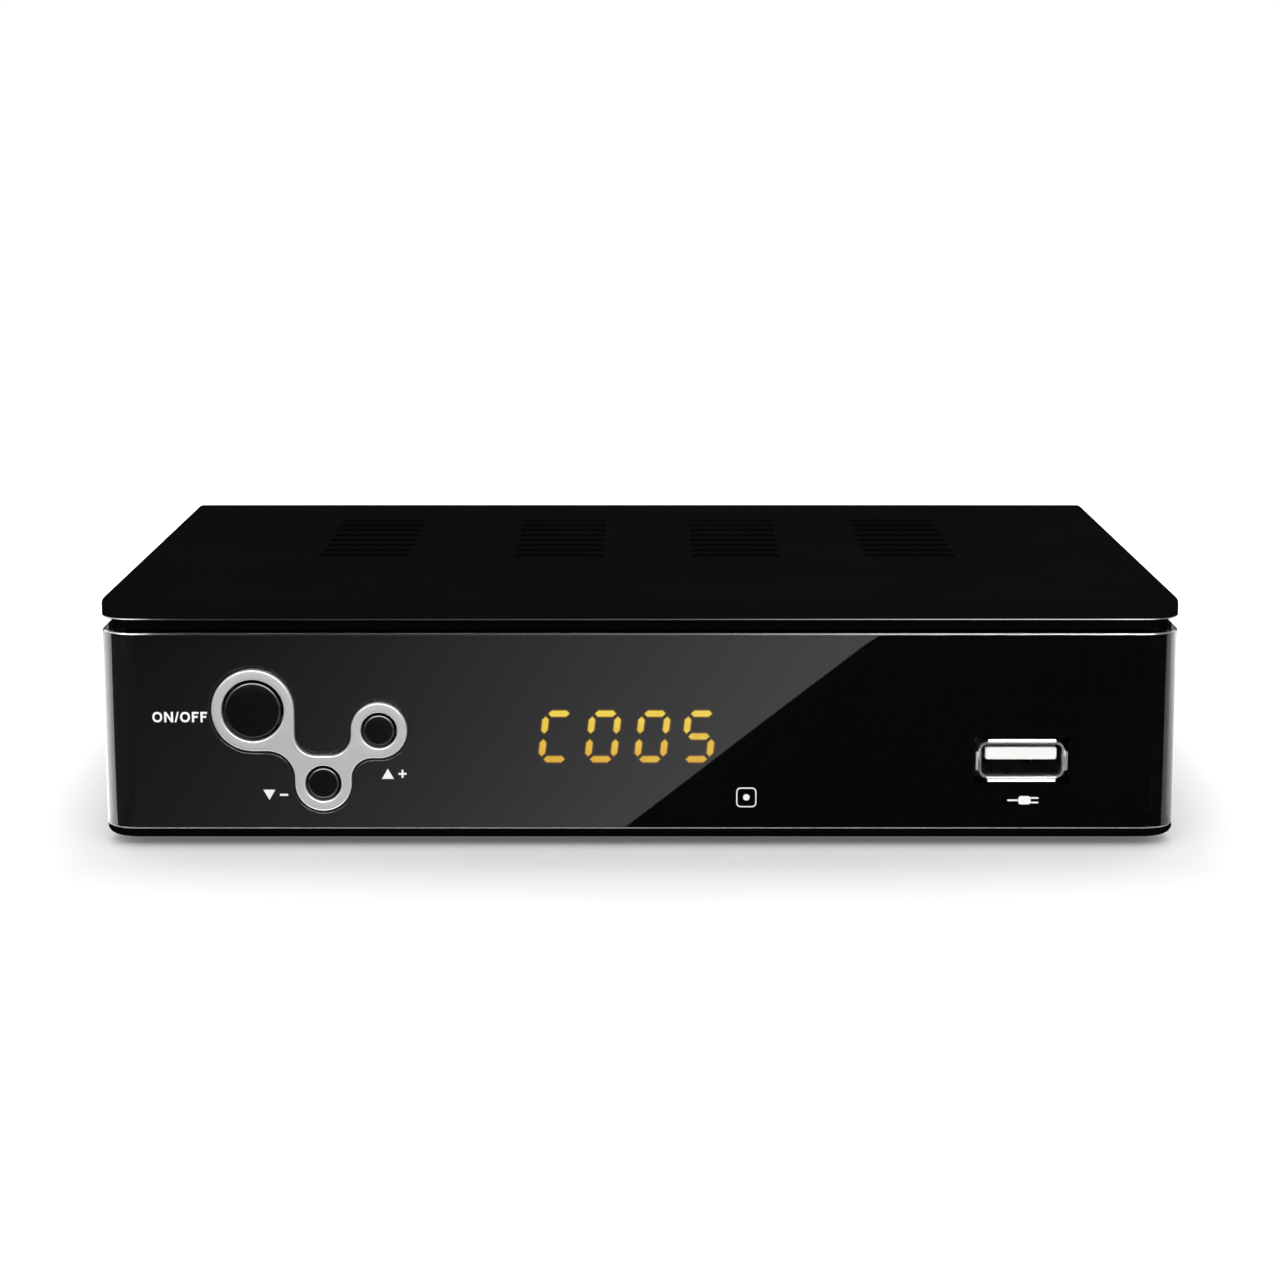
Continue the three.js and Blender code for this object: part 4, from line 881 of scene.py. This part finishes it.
# How far each ring of a lit bar lies inside its outline, from the back edge to the core
segment_insets = (-0.12, -0.12, 0.04, 0.17)
core_margin = 1e-3
digit_shift = np.array([0.32, -0.23])
display_x, display_z = middle_of("display_segments") + digit_shift
lit_segments = {
    "C": ("top", "upper_left", "lower_left", "bottom"),
    "0": ("top", "upper_left", "upper_right", "lower_left", "lower_right", "bottom"),
    "5": ("top", "upper_left", "middle", "lower_right", "bottom"),
}
shown_text = "C005"
segment_across = digit_width - segment_width - digit_height * digit_slant
segment_half = (digit_height - segment_width) / 2
segment_places = {
    "top": (0, 1, False), "middle": (0, 0, False), "bottom": (0, -1, False),
    "upper_left": (-0.5, 0.5, True), "upper_right": (0.5, 0.5, True),
    "lower_left": (-0.5, -0.5, True), "lower_right": (0.5, -0.5, True),
}


def bar_shape(length, width):
    """A long hexagon round its own middle: straight sides that end in blunt points."""
    half, point = length / 2, width / 2
    return np.array([
        (-half, 0), (point - half, point), (half - point, point),
        (half, 0), (half - point, -point), (point - half, -point),
    ])


def lit_bar(digit, place):
    """One lit segment as rings from its back edge to its bright core, sheared by the slant."""
    across, up, upright = segment_places[place]
    length = segment_half - segment_gap_upright if upright else segment_across - segment_gap_flat
    rings = [
        bar_shape(length - 2 * inset, segment_width - 2 * inset) for inset in segment_insets
    ]
    rings = np.stack([*rings, np.zeros((6, 2))])
    if upright:
        rings = rings[..., ::-1] * [-1, 1]
    middle = [digit_places[digit] + across * segment_across, up * segment_half]
    flat = rings + middle
    flat[..., 0] += digit_slant * flat[..., 1]
    depth = np.array([segment_back] + [segment_front] * len(segment_insets))
    return np.stack([
        display_x + flat[..., 0], np.broadcast_to(depth[:, None], flat.shape[:2]),
        display_z + flat[..., 1],
    ], axis=-1)


display_black = finish("display_black", (0.003, 0.003, 0.003), 0.75, Specular_IOR_Level=0.05)
amber_diffuser = finish("amber_diffuser", (0.006, 0.004, 0.002), 0.6, Specular_IOR_Level=0.1)
dress("display_housing", display_black)
dress("display_segments", amber_diffuser)
lit_bars = [
    lit_bar(digit, place) for digit, shape in enumerate(shown_text) for place in lit_segments[shape]
]
segment_yellow = (0.82, 0.62, 0.05, 1.0)
segment_orange = (0.68, 0.37, 0.015, 1.0)
segment_rim = (0.080, 0.026, 0.0, 1.0)
segment_glow = 4.0
segment_base = (0.02, 0.01, 0.004, 1.0)
unevenness_scale = 900.0
lit_amber, tree = paint("lit_amber")
rise = ramp(
    tree, own_axis(tree, "Z"), (display_z - digit_height / 2) * MM, (display_z + digit_height / 2) * MM,
)
unevenness = add(tree, "TexNoise", {"Vector": own_place(tree), "Scale": unevenness_scale}).outputs["Fac"]
warmth = calc(tree, "SUBTRACT", calc(tree, "ADD", rise, unevenness), 0.5, True)
core_colour = mixed(tree, warmth, segment_orange, segment_yellow)
show(tree, add(tree, "BsdfPrincipled", {
    "Base Color": segment_base, "Roughness": 0.5, "Emission Strength": segment_glow,
    "Emission Color": mixed(tree, stored(tree, "core"), segment_rim, core_colour),
}))
lit = piece(
    "lit_segments", [grid(bar, ring=True) for bar in lit_bars], "housing",
    lit_amber,
)
at = points_of(lit)
cores = np.concatenate([bar[-2:].reshape(-1, 3) for bar in lit_bars])
near_core = np.abs(at[:, None, :] - cores[None, :, :]).sum(axis=2).min(axis=1) < core_margin
mark_points(lit, "core", near_core)


# ---------------------------------------------------------------- USB socket
# A folded steel shell, nickel plated, with four lips that flare out to guide the plug, and
# a white tongue that carries four spring contacts. It is soldered to the main board.
usb_corner = 0.9
usb_mouth = -0.3
usb_end = 13.7
lip_root = 0.95
lip_long_share = 0.87
lip_short_share = 0.68
lip_round = 0.25
lip_steps = 8
flare_power = 1.7
corner_power = 6
tongue_width = 10.95
tongue_height = 1.95
tongue_rise = 0.85
tongue_front = 1.1
tongue_back = 12.5
tongue_corner = 0.35
tongue_edge = 0.3
# The block that holds the tongue: width, height and corner radius, then its front and back
root_size = (10.4, 4.25, 0.3)
root_front, root_back = (11.3, 13.05)
root_edge = 0.2
# The contacts' places across, and their width, thickness, corner radius and its steps
contact_places = (-3.5, -1.0, 1.0, 3.5)
contact_size = (1.0, 0.14, 0.05, 3)
contact_edge = 0.05
contact_setback = 0.7
contact_sunk = 0.06
# The depths between which painted shade darkens a finish inwards, and the share of its colour that is left
sleeve_shade = (0.9, 2.4, 0.10)
tongue_shade = (1.6, 2.6, 0.06)


def rounded_rectangle(x, z, width, height, radius, steps=6):
    """A clockwise loop of four quarter circles, joined by straight sides."""
    w, h = width / 2 - radius, height / 2 - radius
    return np.concatenate([
        arc(x + sx * w, z + sz * h, radius, start, start - 1, steps)
        for sx, sz, start in ((-1, 1, 2), (1, 1, 1), (1, -1, 0), (-1, -1, -1))
    ])


def bar(loop, front, back, edge, steps=4):
    """A clockwise loop carried straight back from a front face with a rounded edge."""
    rows = [behind(front + rise)(drawn_in(loop, inset)) for inset, rise in round_edge(edge, steps)]
    return [
        grid(np.stack([*rows, behind(back)(loop)]), ring=True),
        fill([drawn_in(loop, edge)], behind(front)), fill([loop], behind(back)),
    ]


def usb_lip(reach, width, turns):
    """A flared lip: from its root to its mouth the section moves outwards by a power of the way
    gone, with the sheet's thickness laid off along its normals. It is carried across the lip's
    width, which shrinks by a higher power of the way, so that the corners are round."""
    t = np.linspace(0, 1, lip_steps)
    line = np.stack([lip_root + t * (usb_mouth - lip_root), reach + usb_flare * t ** flare_power], axis=1)
    along = np.gradient(line, axis=0)
    normal = np.stack([along[:, 1], -along[:, 0]], axis=1) / np.linalg.norm(along, axis=1)[:, None]
    section = np.concatenate([line, (line + usb_sheet * normal)[::-1]])
    section[:, 0] = np.maximum(section[:, 0], usb_mouth)
    side = width / 2 - lip_round * np.concatenate([t, t[::-1]]) ** corner_power
    across = np.stack([-side, side])
    depth, out = np.broadcast_arrays(section[None, :, 0], section[None, :, 1] + 0 * across)
    quarter = turns * math.pi / 2
    x = across * math.cos(quarter) + out * math.sin(quarter)
    z = out * math.cos(quarter) - across * math.sin(quarter)
    points = np.stack([usb_x + x, depth, usb_z + z], axis=-1)
    return [grid(points, ring=True), one_face(points[0]), one_face(points[1])]


tube_outside = rounded_rectangle(
    usb_x, usb_z, usb_width + 2 * usb_sheet, usb_height + 2 * usb_sheet, usb_corner + usb_sheet,
)
tube_inside = rounded_rectangle(usb_x, usb_z, usb_width, usb_height, usb_corner)
tube_front = lip_root - 2 * usb_sheet
shell_parts = [
    grid(np.stack([behind(d)(tube_outside) for d in (tube_front, usb_end)]), ring=True),
    grid(np.stack([behind(d)(tube_inside) for d in (tube_front, usb_end - usb_sheet)]), ring=True),
    fill([tube_outside, tube_inside], behind(tube_front)),
    fill([tube_outside], behind(usb_end)), fill([tube_inside], behind(usb_end - usb_sheet)),
]
for turns in (0, 2):
    shell_parts += usb_lip(usb_height / 2, lip_long_share * usb_width, turns)
    shell_parts += usb_lip(usb_width / 2, lip_short_share * usb_height, turns + 1)


def shade_painted_inwards(material, start, end, share):
    """Paints shade into a finish: its colour darkens from one depth behind the fascia to another, down to a
    share of its colour, standing in for the shade deep in a socket."""
    tree = material.node_tree
    unshaded_colour = tree.nodes["Principled BSDF"].inputs["Base Color"].links[0].from_socket
    left = ramp(tree, own_axis(tree, "Y"), fascia + start * MM, fascia + end * MM, 1.0, share)
    feed(material, "Base Color", mixed(tree, 1.0, unshaded_colour, left, "MULTIPLY"))
    return material


nickel_look = dict(
    colour=(0.76, 0.75, 0.73), roughness=0.24, pits_per_metre=1800.0, drift=0.16, depth=0.004,
    stretch=(1.0, 0.12, 1.0), Metallic=1.0,
)
nickel = finish("nickel", **nickel_look)
# The sleeve and the tongue take copies of the nickel and the white plastic with painted shade, darker deeper
# in the socket.
piece(
    "usb_sleeve", shell_parts, "housing",
    shade_painted_inwards(finish("usb_nickel_painted_shade", **nickel_look), *sleeve_shade), ["usb_shell"],
)
tongue_loop = rounded_rectangle(
    usb_x, usb_z + tongue_rise, tongue_width, tongue_height, tongue_corner,
)
tongue_parts = bar(tongue_loop, tongue_front, tongue_back, tongue_edge)
tongue_parts += bar(rounded_rectangle(usb_x, usb_z, *root_size), root_front, root_back, root_edge)
white_look = dict(
    colour=(0.90, 0.90, 0.89), roughness=0.38, pits_per_metre=1400.0, drift=0.1, depth=0.006,
)
white_plastic = finish("white_plastic", **white_look)
piece(
    "usb_tongue_bar", tongue_parts, "housing",
    shade_painted_inwards(finish("usb_white_painted_shade", **white_look), *tongue_shade), ["usb_tongue"],
)
contact_parts = []
contact_z = usb_z + tongue_rise - tongue_height / 2 - contact_sunk
for offset in contact_places:
    contact_parts += bar(
        rounded_rectangle(usb_x + offset, contact_z, *contact_size),
        tongue_front + contact_setback, root_front, contact_edge, steps=2,
    )
contact_gold = finish(
    "contact_gold", (0.80, 0.58, 0.25), 0.25, pits_per_metre=900.0, depth=0.003, Metallic=1.0,
)
piece("usb_contacts", contact_parts, "housing", contact_gold)


# ---------------------------------------------------------------- printed marks
# Marks in white ink on the window, a few hundredths of a millimetre thick: ON and OFF by
# the power button, arrows by the channel buttons, a spot over the infrared receiver and
# the outline of a plug under the USB socket.
ink = 0.02
mark_height = 1.62
stroke = 0.32
letter_x = -74.4
letter_z = 19.65
# Each letter with its width and the gap after it
letters = (
    ("O", 1.50, 0.30), ("N", 1.36, 0.22), ("/", 0.66, 0.20), ("O", 1.50, 0.30),
    ("F", 1.02, 0.28), ("F", 1.02, 0.0),
)
letter_steps = 8
round_share = 0.48
diagonal_share = 1.7
bar_height_share = 0.62
bar_width_share = 0.86
slash_share = 0.8
arrow_down_place = (-56.8, 8.3)
arrow_up_place = (-38.6, 11.6)
# An arrow's half width and half height, and the reach of the sign beside it
arrow_size = (0.92, 0.80, 0.62)
sign_gap = 2.25
spot_frame = ((3.1, 3.1, 0.7), (2.74, 2.74, 0.52))
spot_radius = 0.5
spot_sides = 24
plug_x, plug_z = usb_x + 0.35, 7.45
# The plug's body, its cable and two prongs: place, width, height, corner radius and its steps
plug_shapes = (
    (0.2, 0.0, 1.9, 1.3, 0.4, 6), (-1.6, 0.0, 1.7, 0.26, 0.12, 3),
    (1.75, -0.36, 1.2, 0.26, 0.12, 3), (1.75, 0.36, 1.2, 0.26, 0.12, 3),
)


def plate(loops, front=-ink, back=0.0):
    """A flat plate inside the first loop and outside the others, between two depths."""
    return [
        fill(loops, behind(front)), fill(loops, behind(back)),
        *[grid(np.stack([behind(front)(loop), behind(back)(loop)]), ring=True) for loop in loops],
    ]


def letter(shape, x, z, width):
    """A capital letter or slash with its lower left corner at a point."""
    h, s, w = mark_height, stroke, width
    if shape == "O":
        return plate([
            rounded_rectangle(x + w / 2, z + h / 2, w - cut, h - cut, (w - cut) * round_share, letter_steps)
            for cut in (0, 2 * s)
        ])
    steep, middle, arm = diagonal_share * s, bar_height_share * h, bar_width_share * w
    outlines = {
        "N": [(0, 0), (0, h), (s, h), (w - s, steep), (w - s, h), (w, h), (w, 0), (w - s, 0),
              (s, h - steep), (s, 0)],
        "F": [(0, 0), (0, h), (w, h), (w, h - s), (s, h - s), (s, middle), (arm, middle),
              (arm, middle - s), (s, middle - s), (s, 0)],
        "/": [(0, 0), (w - slash_share * s, h), (w, h), (slash_share * s, 0)],
    }
    return plate([np.array(outlines[shape]) + [x, z]])


mark_parts = []
for shape, width, gap in letters:
    mark_parts += letter(shape, letter_x, letter_z, width)
    letter_x += width + gap


def plus(a, b):
    """A plus sign round its own middle, with arms of length a and half width b."""
    return np.array([
        (-a, -b), (-b, -b), (-b, -a), (b, -a), (b, -b), (a, -b), (a, b), (b, b), (b, a), (-b, a),
        (-b, b), (-a, b),
    ])


def arrow(x, z, way):
    """A triangle that points up or down, and beside it a minus or, pointing up, a plus."""
    half, tall, arm = arrow_size
    tip = np.array([(x - half, z - way * tall), (x, z + way * tall), (x + half, z - way * tall)])
    sign_x, thin = x + sign_gap, stroke / 2
    minus = rectangle(sign_x - arm, sign_x + arm, z - thin, z + thin)
    return plate([tip]) + plate([plus(arm, thin) + [sign_x, z] if way > 0 else minus])


mark_parts += arrow(*arrow_down_place, -1) + arrow(*arrow_up_place, 1)
spot = middle_of("infrared_receiver")
mark_parts += plate([rounded_rectangle(*spot, *frame_size) for frame_size in spot_frame])
mark_parts += plate([circle(*spot, spot_radius, spot_sides)])
for right, up, *size in plug_shapes:
    mark_parts += plate([rounded_rectangle(plug_x + right, plug_z + up, *size)])
white_ink = finish(
    "white_ink", (0.93, 0.93, 0.93), 0.5, pits_per_metre=3000.0, drift=0.1, depth=0.004,
)
piece("printed_marks", mark_parts, "housing", white_ink)


# ---------------------------------------------------------------- rear panel and sockets
# A moulded panel between the ribs of the base. From the left, seen from behind: two threaded
# aerial sockets on the tuner can, the HDMI socket, three jacks in their block, and the power
# inlet. The round metal parts are turned and nickel plated, with moulded insulation in them.
socket_face = 104.7
can_rear = 103.8
jack_radius = 4.15
jack_wall = 0.45
jack_end = 116.0
jack_root = 101.7
insert_end = 115.2
jack_bore = 1.7
jack_bore_depth = 8.0
jack_bead = 0.25
jack_round = 0.2
aerial_radius = 4.7
aerial_flange = 5.6
aerial_end = 117.5
aerial_bore = 3.3
aerial_bore_depth = 3.0
thread_pitch = 0.79
thread_depth = 0.38
thread_rows = 12
thread_fade = 0.6
thread_setback = 0.6
turned_sides = 72
pin_hole = 0.6
pin_hole_bead = 0.35
insulation_gap = 0.05
insert_round = 0.15
insulator_round = 0.2
insulator_setback = 0.5
pin_hole_floor = 0.5
end_chamfer = 0.5

dress("rear_panel", base_plastic)
black_component = finish(
    "black_component", (0.012, 0.012, 0.013), 0.42, pits_per_metre=1500.0, drift=0.12, depth=0.008,
)
for name in ("jack_block", "power_inlet", "hdmi_tongue", "processor", "infrared_receiver"):
    dress(name, black_component)
dress("hdmi_shell", nickel)
dress("power_inlet_pin", nickel)
tinned = finish(
    "tinned_can", (0.62, 0.62, 0.60), 0.33, pits_per_metre=420.0, drift=0.28, depth=0.006,
    stretch=(1.0, 0.3, 1.0), Metallic=1.0,
)
dress("tuner_can", tinned)


def rounded_profile(outer, inner, front, end, edge, steps=5):
    """The section of a sleeve: a wall between two radii whose open end is rounded over."""
    rounded = round_edge(edge, steps)[::-1]
    outside = np.column_stack([outer - rounded[:, 0], end - rounded[:, 1]])
    within = np.column_stack([inner + rounded[:, 0], end - rounded[:, 1]])[::-1]
    return [(inner, front), (outer, front), *outside, *within, (inner, front)]


def threaded(x, z, front, end):
    """A screw thread: the radius falls and rises once for each pitch along the depth, less a
    full turn for each turn about the line, and the depth of the thread fades out at its ends."""
    angle = np.linspace(0, 2 * math.pi, turned_sides, endpoint=False)
    rows = int((end - front) / thread_pitch * thread_rows) + 1
    depth = np.linspace(front, end, rows)
    phase = depth[:, None] / thread_pitch - angle[None, :] / (2 * math.pi)
    ridge = 1 - np.abs(2 * (phase - np.floor(phase)) - 1)
    fade = np.clip(np.minimum(depth - front, end - depth) / (thread_fade * thread_pitch), 0, 1)
    radius = aerial_radius - thread_depth * ridge * fade[:, None]
    return grid(np.stack([
        x + radius * np.cos(angle), np.repeat(depth[:, None], turned_sides, axis=1),
        z + radius * np.sin(angle),
    ], axis=-1), ring=True)


jack_plastics = {
    "video": ("yellow_plastic", (0.78, 0.52, 0.015)),
    "left_audio": ("white_plastic", (0.80, 0.80, 0.79)),
    "right_audio": ("red_plastic", (0.55, 0.012, 0.012)),
}
shell_profile = rounded_profile(jack_radius, jack_radius - jack_wall, jack_root, jack_end, jack_round)
insert_radius = jack_radius - jack_wall - insulation_gap
insert_profile = [
    (0.0, jack_root), (insert_radius, jack_root), (insert_radius, insert_end - insert_round),
    (insert_radius - insert_round, insert_end), (jack_bore + jack_bead, insert_end),
    (jack_bore, insert_end - jack_bead), (jack_bore, insert_end - jack_bore_depth),
    (0.0, insert_end - jack_bore_depth),
]
for name, (slot, colour) in jack_plastics.items():
    place = middle_of(f"{name}_jack_shell")
    piece(
        f"{name}_jack_sleeve", [turned(shell_profile, *place)], "housing", nickel,
        [f"{name}_jack_shell"],
    )
    plastic = finish(
        f"{name}_plastic", colour, 0.35, pits_per_metre=1400.0, drift=0.1, depth=0.006,
    )
    piece(
        f"{name}_jack_core", [turned(insert_profile, *place)], "housing", plastic,
        [f"{name}_jack_insert"],
    )

thread_front = socket_face + thread_setback
thread_end = aerial_end - end_chamfer
insulator_root = aerial_end - aerial_bore_depth
aerial_profile_rear = [
    (aerial_radius, thread_end), (aerial_radius - end_chamfer, aerial_end), (aerial_bore, aerial_end),
    (aerial_bore, insulator_root), (0.0, insulator_root),
]
flange_profile = [
    (0.0, can_rear), (aerial_flange, can_rear), (aerial_flange, socket_face),
    (aerial_radius, socket_face), (aerial_radius, thread_front),
]
insulator_radius = aerial_bore - insulation_gap
insulator_face = aerial_end - insulator_setback
insulator_profile = [
    (0.0, insulator_root), (insulator_radius, insulator_root),
    (insulator_radius, insulator_face - insulator_round),
    (insulator_radius - insulator_round, insulator_face),
    (pin_hole + pin_hole_bead, insulator_face), (pin_hole, insulator_face - pin_hole_bead),
    (pin_hole, insulator_root + pin_hole_floor), (0.0, insulator_root + pin_hole_floor),
]
for name in ("aerial_output", "aerial_input"):
    place = middle_of(f"{name}_socket")
    socket_parts = [
        turned(flange_profile, *place, turned_sides),
        threaded(*place, thread_front, thread_end),
        turned(aerial_profile_rear, *place, turned_sides),
    ]
    piece(
        f"{name}_barrel", socket_parts, "housing", nickel, [f"{name}_socket"],
        crease=28.0,
    )
    piece(
        f"{name}_core", [turned(insulator_profile, *place)], "housing",
        white_plastic, [f"{name}_insulator"],
    )


# ---------------------------------------------------------------- boards and what is on them
# Two glass-fibre boards under green lacquer: one behind the buttons and display, one on the
# floor with the processor, its heat sink, two capacitors and the sockets, joined by a ribbon.
for name in button_sizes:
    dress(f"{name}_switch", black_component)
    dress(f"{name}_plunger", white_plastic)
for name in ("front_header", "main_header"):
    dress(name, white_plastic)
dress("heat_sink", finish(
    "heat_sink_aluminium", (0.56, 0.57, 0.58), 0.4, pits_per_metre=1100.0, drift=0.2, depth=0.01,
    stretch=(1.0, 0.06, 1.0), Metallic=1.0,
))

# Printed board: straight copper runs under the lacquer stand up a little and look paler.
prints, given, made = shader_group(
    "printed_board",
    [("Coordinates", "NodeSocketVector", None), ("Lacquer", "NodeSocketColor", (0.004, 0.026, 0.009, 1.0)),
     ("Copper", "NodeSocketColor", (0.010, 0.052, 0.018, 1.0)), ("Runs per metre", "NodeSocketFloat", 60.0)],
    [("Color", "NodeSocketColor"), ("Height", "NodeSocketFloat")],
)
given = given.outputs
runs = add(prints, "TexBrick", {
    "Vector": given["Coordinates"], "Scale": given["Runs per metre"], "Mortar Size": 0.03,
    "Mortar Smooth": 0.2, "Brick Width": 0.9, "Row Height": 0.13,
}, offset=0.37).outputs["Fac"]
prints.links.new(mixed(prints, runs, given["Lacquer"], given["Copper"]), made.inputs["Color"])
prints.links.new(runs, made.inputs["Height"])


def board_finish(name, turn):
    """Green lacquer over copper runs; the turn lays the pattern in the board's own plane."""
    material, tree = paint(name)
    laid = add(tree, "Mapping", {"Vector": own_place(tree), "Rotation": turn})
    surface = add(tree, "Group", {"Coordinates": laid.outputs[0]}, node_tree=prints).outputs
    show(tree, add(tree, "BsdfPrincipled", {
        "Base Color": surface["Color"], "Roughness": 0.32,
        "Normal": bumped(tree, surface["Height"], strength=0.5, distance=0.03),
    }))
    return material


dress("main_board", board_finish("main_board_lacquer", (0.0, 0.0, 0.0)))
dress("front_board", board_finish("front_board_lacquer", (math.pi / 2, 0.0, 0.0)))

# The ribbon's wires lie side by side in grey vinyl. A wave texture draws some three bands to
# each unit of its scale.
wires_per_metre = 787.0
wave_bands = 3.1831
ribbon_grey, tree = paint("ribbon_grey")
wires = add(tree, "TexWave", {
    "Vector": own_place(tree), "Scale": wires_per_metre / wave_bands, "Distortion": 0.0,
}).outputs["Fac"]
show(tree, add(tree, "BsdfPrincipled", {
    "Base Color": mixed(tree, wires, (0.30, 0.30, 0.31, 1.0), (0.42, 0.42, 0.43, 1.0)),
    "Roughness": 0.45, "Normal": bumped(tree, wires, strength=0.6, distance=0.05),
}))
dress("ribbon_cable", ribbon_grey)

# Each capacitor is an aluminium can in a dark blue sleeve, with a groove near its foot and a
# rim round its top; the profile gives radius and height from the foot up.
sleeve_blue = finish(
    "capacitor_sleeve", (0.012, 0.018, 0.06), 0.3, pits_per_metre=700.0, drift=0.15, depth=0.01,
)
can_sides = 48
can_radius = 4.0
neck_radius = 3.75
bare_radius = 3.2
can_low, can_top = (corner.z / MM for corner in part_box("capacitor_1"))
capacitor_profile = [
    (0.0, can_low), (can_radius - 0.2, can_low), (can_radius, can_low + 0.2),
    (can_radius, can_low + 0.9), (neck_radius, can_low + 1.3), (neck_radius, can_low + 1.7),
    (can_radius, can_low + 2.1), (can_radius, can_top - 0.5), (3.86, can_top - 0.15),
    (3.5, can_top), (bare_radius, can_top), (bare_radius, can_top - 0.15), (0.0, can_top - 0.15),
]


def plan_place(node):
    """The middle of a node seen from above in millimetres: across, and behind the fascia."""
    low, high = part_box(node)
    middle = (low + high) / 2 / MM
    return middle.x, middle.y - fascia / MM


for order in (1, 2):
    piece(
        f"capacitor_can_{order}",
        [turned(capacitor_profile, *plan_place(f"capacitor_{order}"), can_sides, level)],
        "housing", sleeve_blue, [f"capacitor_{order}"],
    )


# ---------------------------------------------------------------- screws and feet
# Zinc-plated screws with a round head and a cross recess: four hold the case from below,
# four hold the main board. Four moulded rubber feet are stuck under the base beside them.
screw_radius = 1.4
head_radius = 2.8
head_height = 1.8
cross_arm = 1.5
cross_width = 0.55
cross_depth = 0.9
crown_margin = 0.25
head_steps = 9
screw_sides = 48
zinc = finish(
    "zinc_screw", (0.52, 0.53, 0.55), 0.34, pits_per_metre=1200.0, drift=0.25, depth=0.006,
    Metallic=1.0,
)
cross = plus(cross_arm, cross_width / 2)


def screw(x, y, seat, tip):
    """A screw on an upright line: a domed head with a cross cut into it on the far side of the
    seat from the tip, and a plain shank down to a blunt point."""
    way = 1 if tip < seat else -1
    t = np.linspace(0, math.pi / 2, head_steps)
    top = cross_arm + crown_margin
    dome = np.column_stack([
        top + (head_radius - top) * np.sin(t), seat + way * head_height * np.cos(t),
    ])
    shank = [(screw_radius, seat), (screw_radius, tip + way * screw_radius), (0.0, tip)]
    face, floor = seat + way * head_height, seat + way * (head_height - cross_depth)
    cut = cross + [x, y]
    return [
        turned([*dome, *shank], x, y, screw_sides, level),
        fill([circle(x, y, top, screw_sides), cut], level(face)),
        grid(np.stack([level(face)(cut), level(floor)(cut)]), ring=True),
        fill([cut], level(floor)),
    ]


foot_radius = 5.0
foot_height = 1.5
foot_hollow = 0.25
foot_hollow_inset = 1.6
foot_ring_inset = 1.3
foot_edge = 0.5
foot_sides = 64
foot_round = round_edge(foot_edge, steps=5)
foot_profile = [
    (0.0, foot_hollow), (foot_radius - foot_hollow_inset, foot_hollow),
    (foot_radius - foot_ring_inset, 0.0),
    *np.column_stack([foot_radius - foot_round[:, 0], foot_round[:, 1]]),
    (foot_radius, foot_height), (0.0, foot_height),
]
rubber = finish(
    "foot_rubber", (0.018, 0.018, 0.018), 0.85, pits_per_metre=3500.0, drift=0.1, depth=0.03,
)
for corner in ("front_left", "front_right", "rear_left", "rear_right"):
    for kind in ("case", "board"):
        node = f"{kind}_screw_{corner}"
        low, high = (end.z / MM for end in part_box(node))
        seat, tip = (low + head_height, high) if kind == "case" else (high - head_height, low)
        piece(
            f"{kind}_screw_head_{corner}", screw(*plan_place(node), seat, tip), "housing",
            zinc, [node],
        )
    node = f"foot_{corner}"
    piece(
        f"rubber_foot_{corner}", [turned(foot_profile, *plan_place(node), foot_sides, level)],
        "housing", rubber, [node],
    )
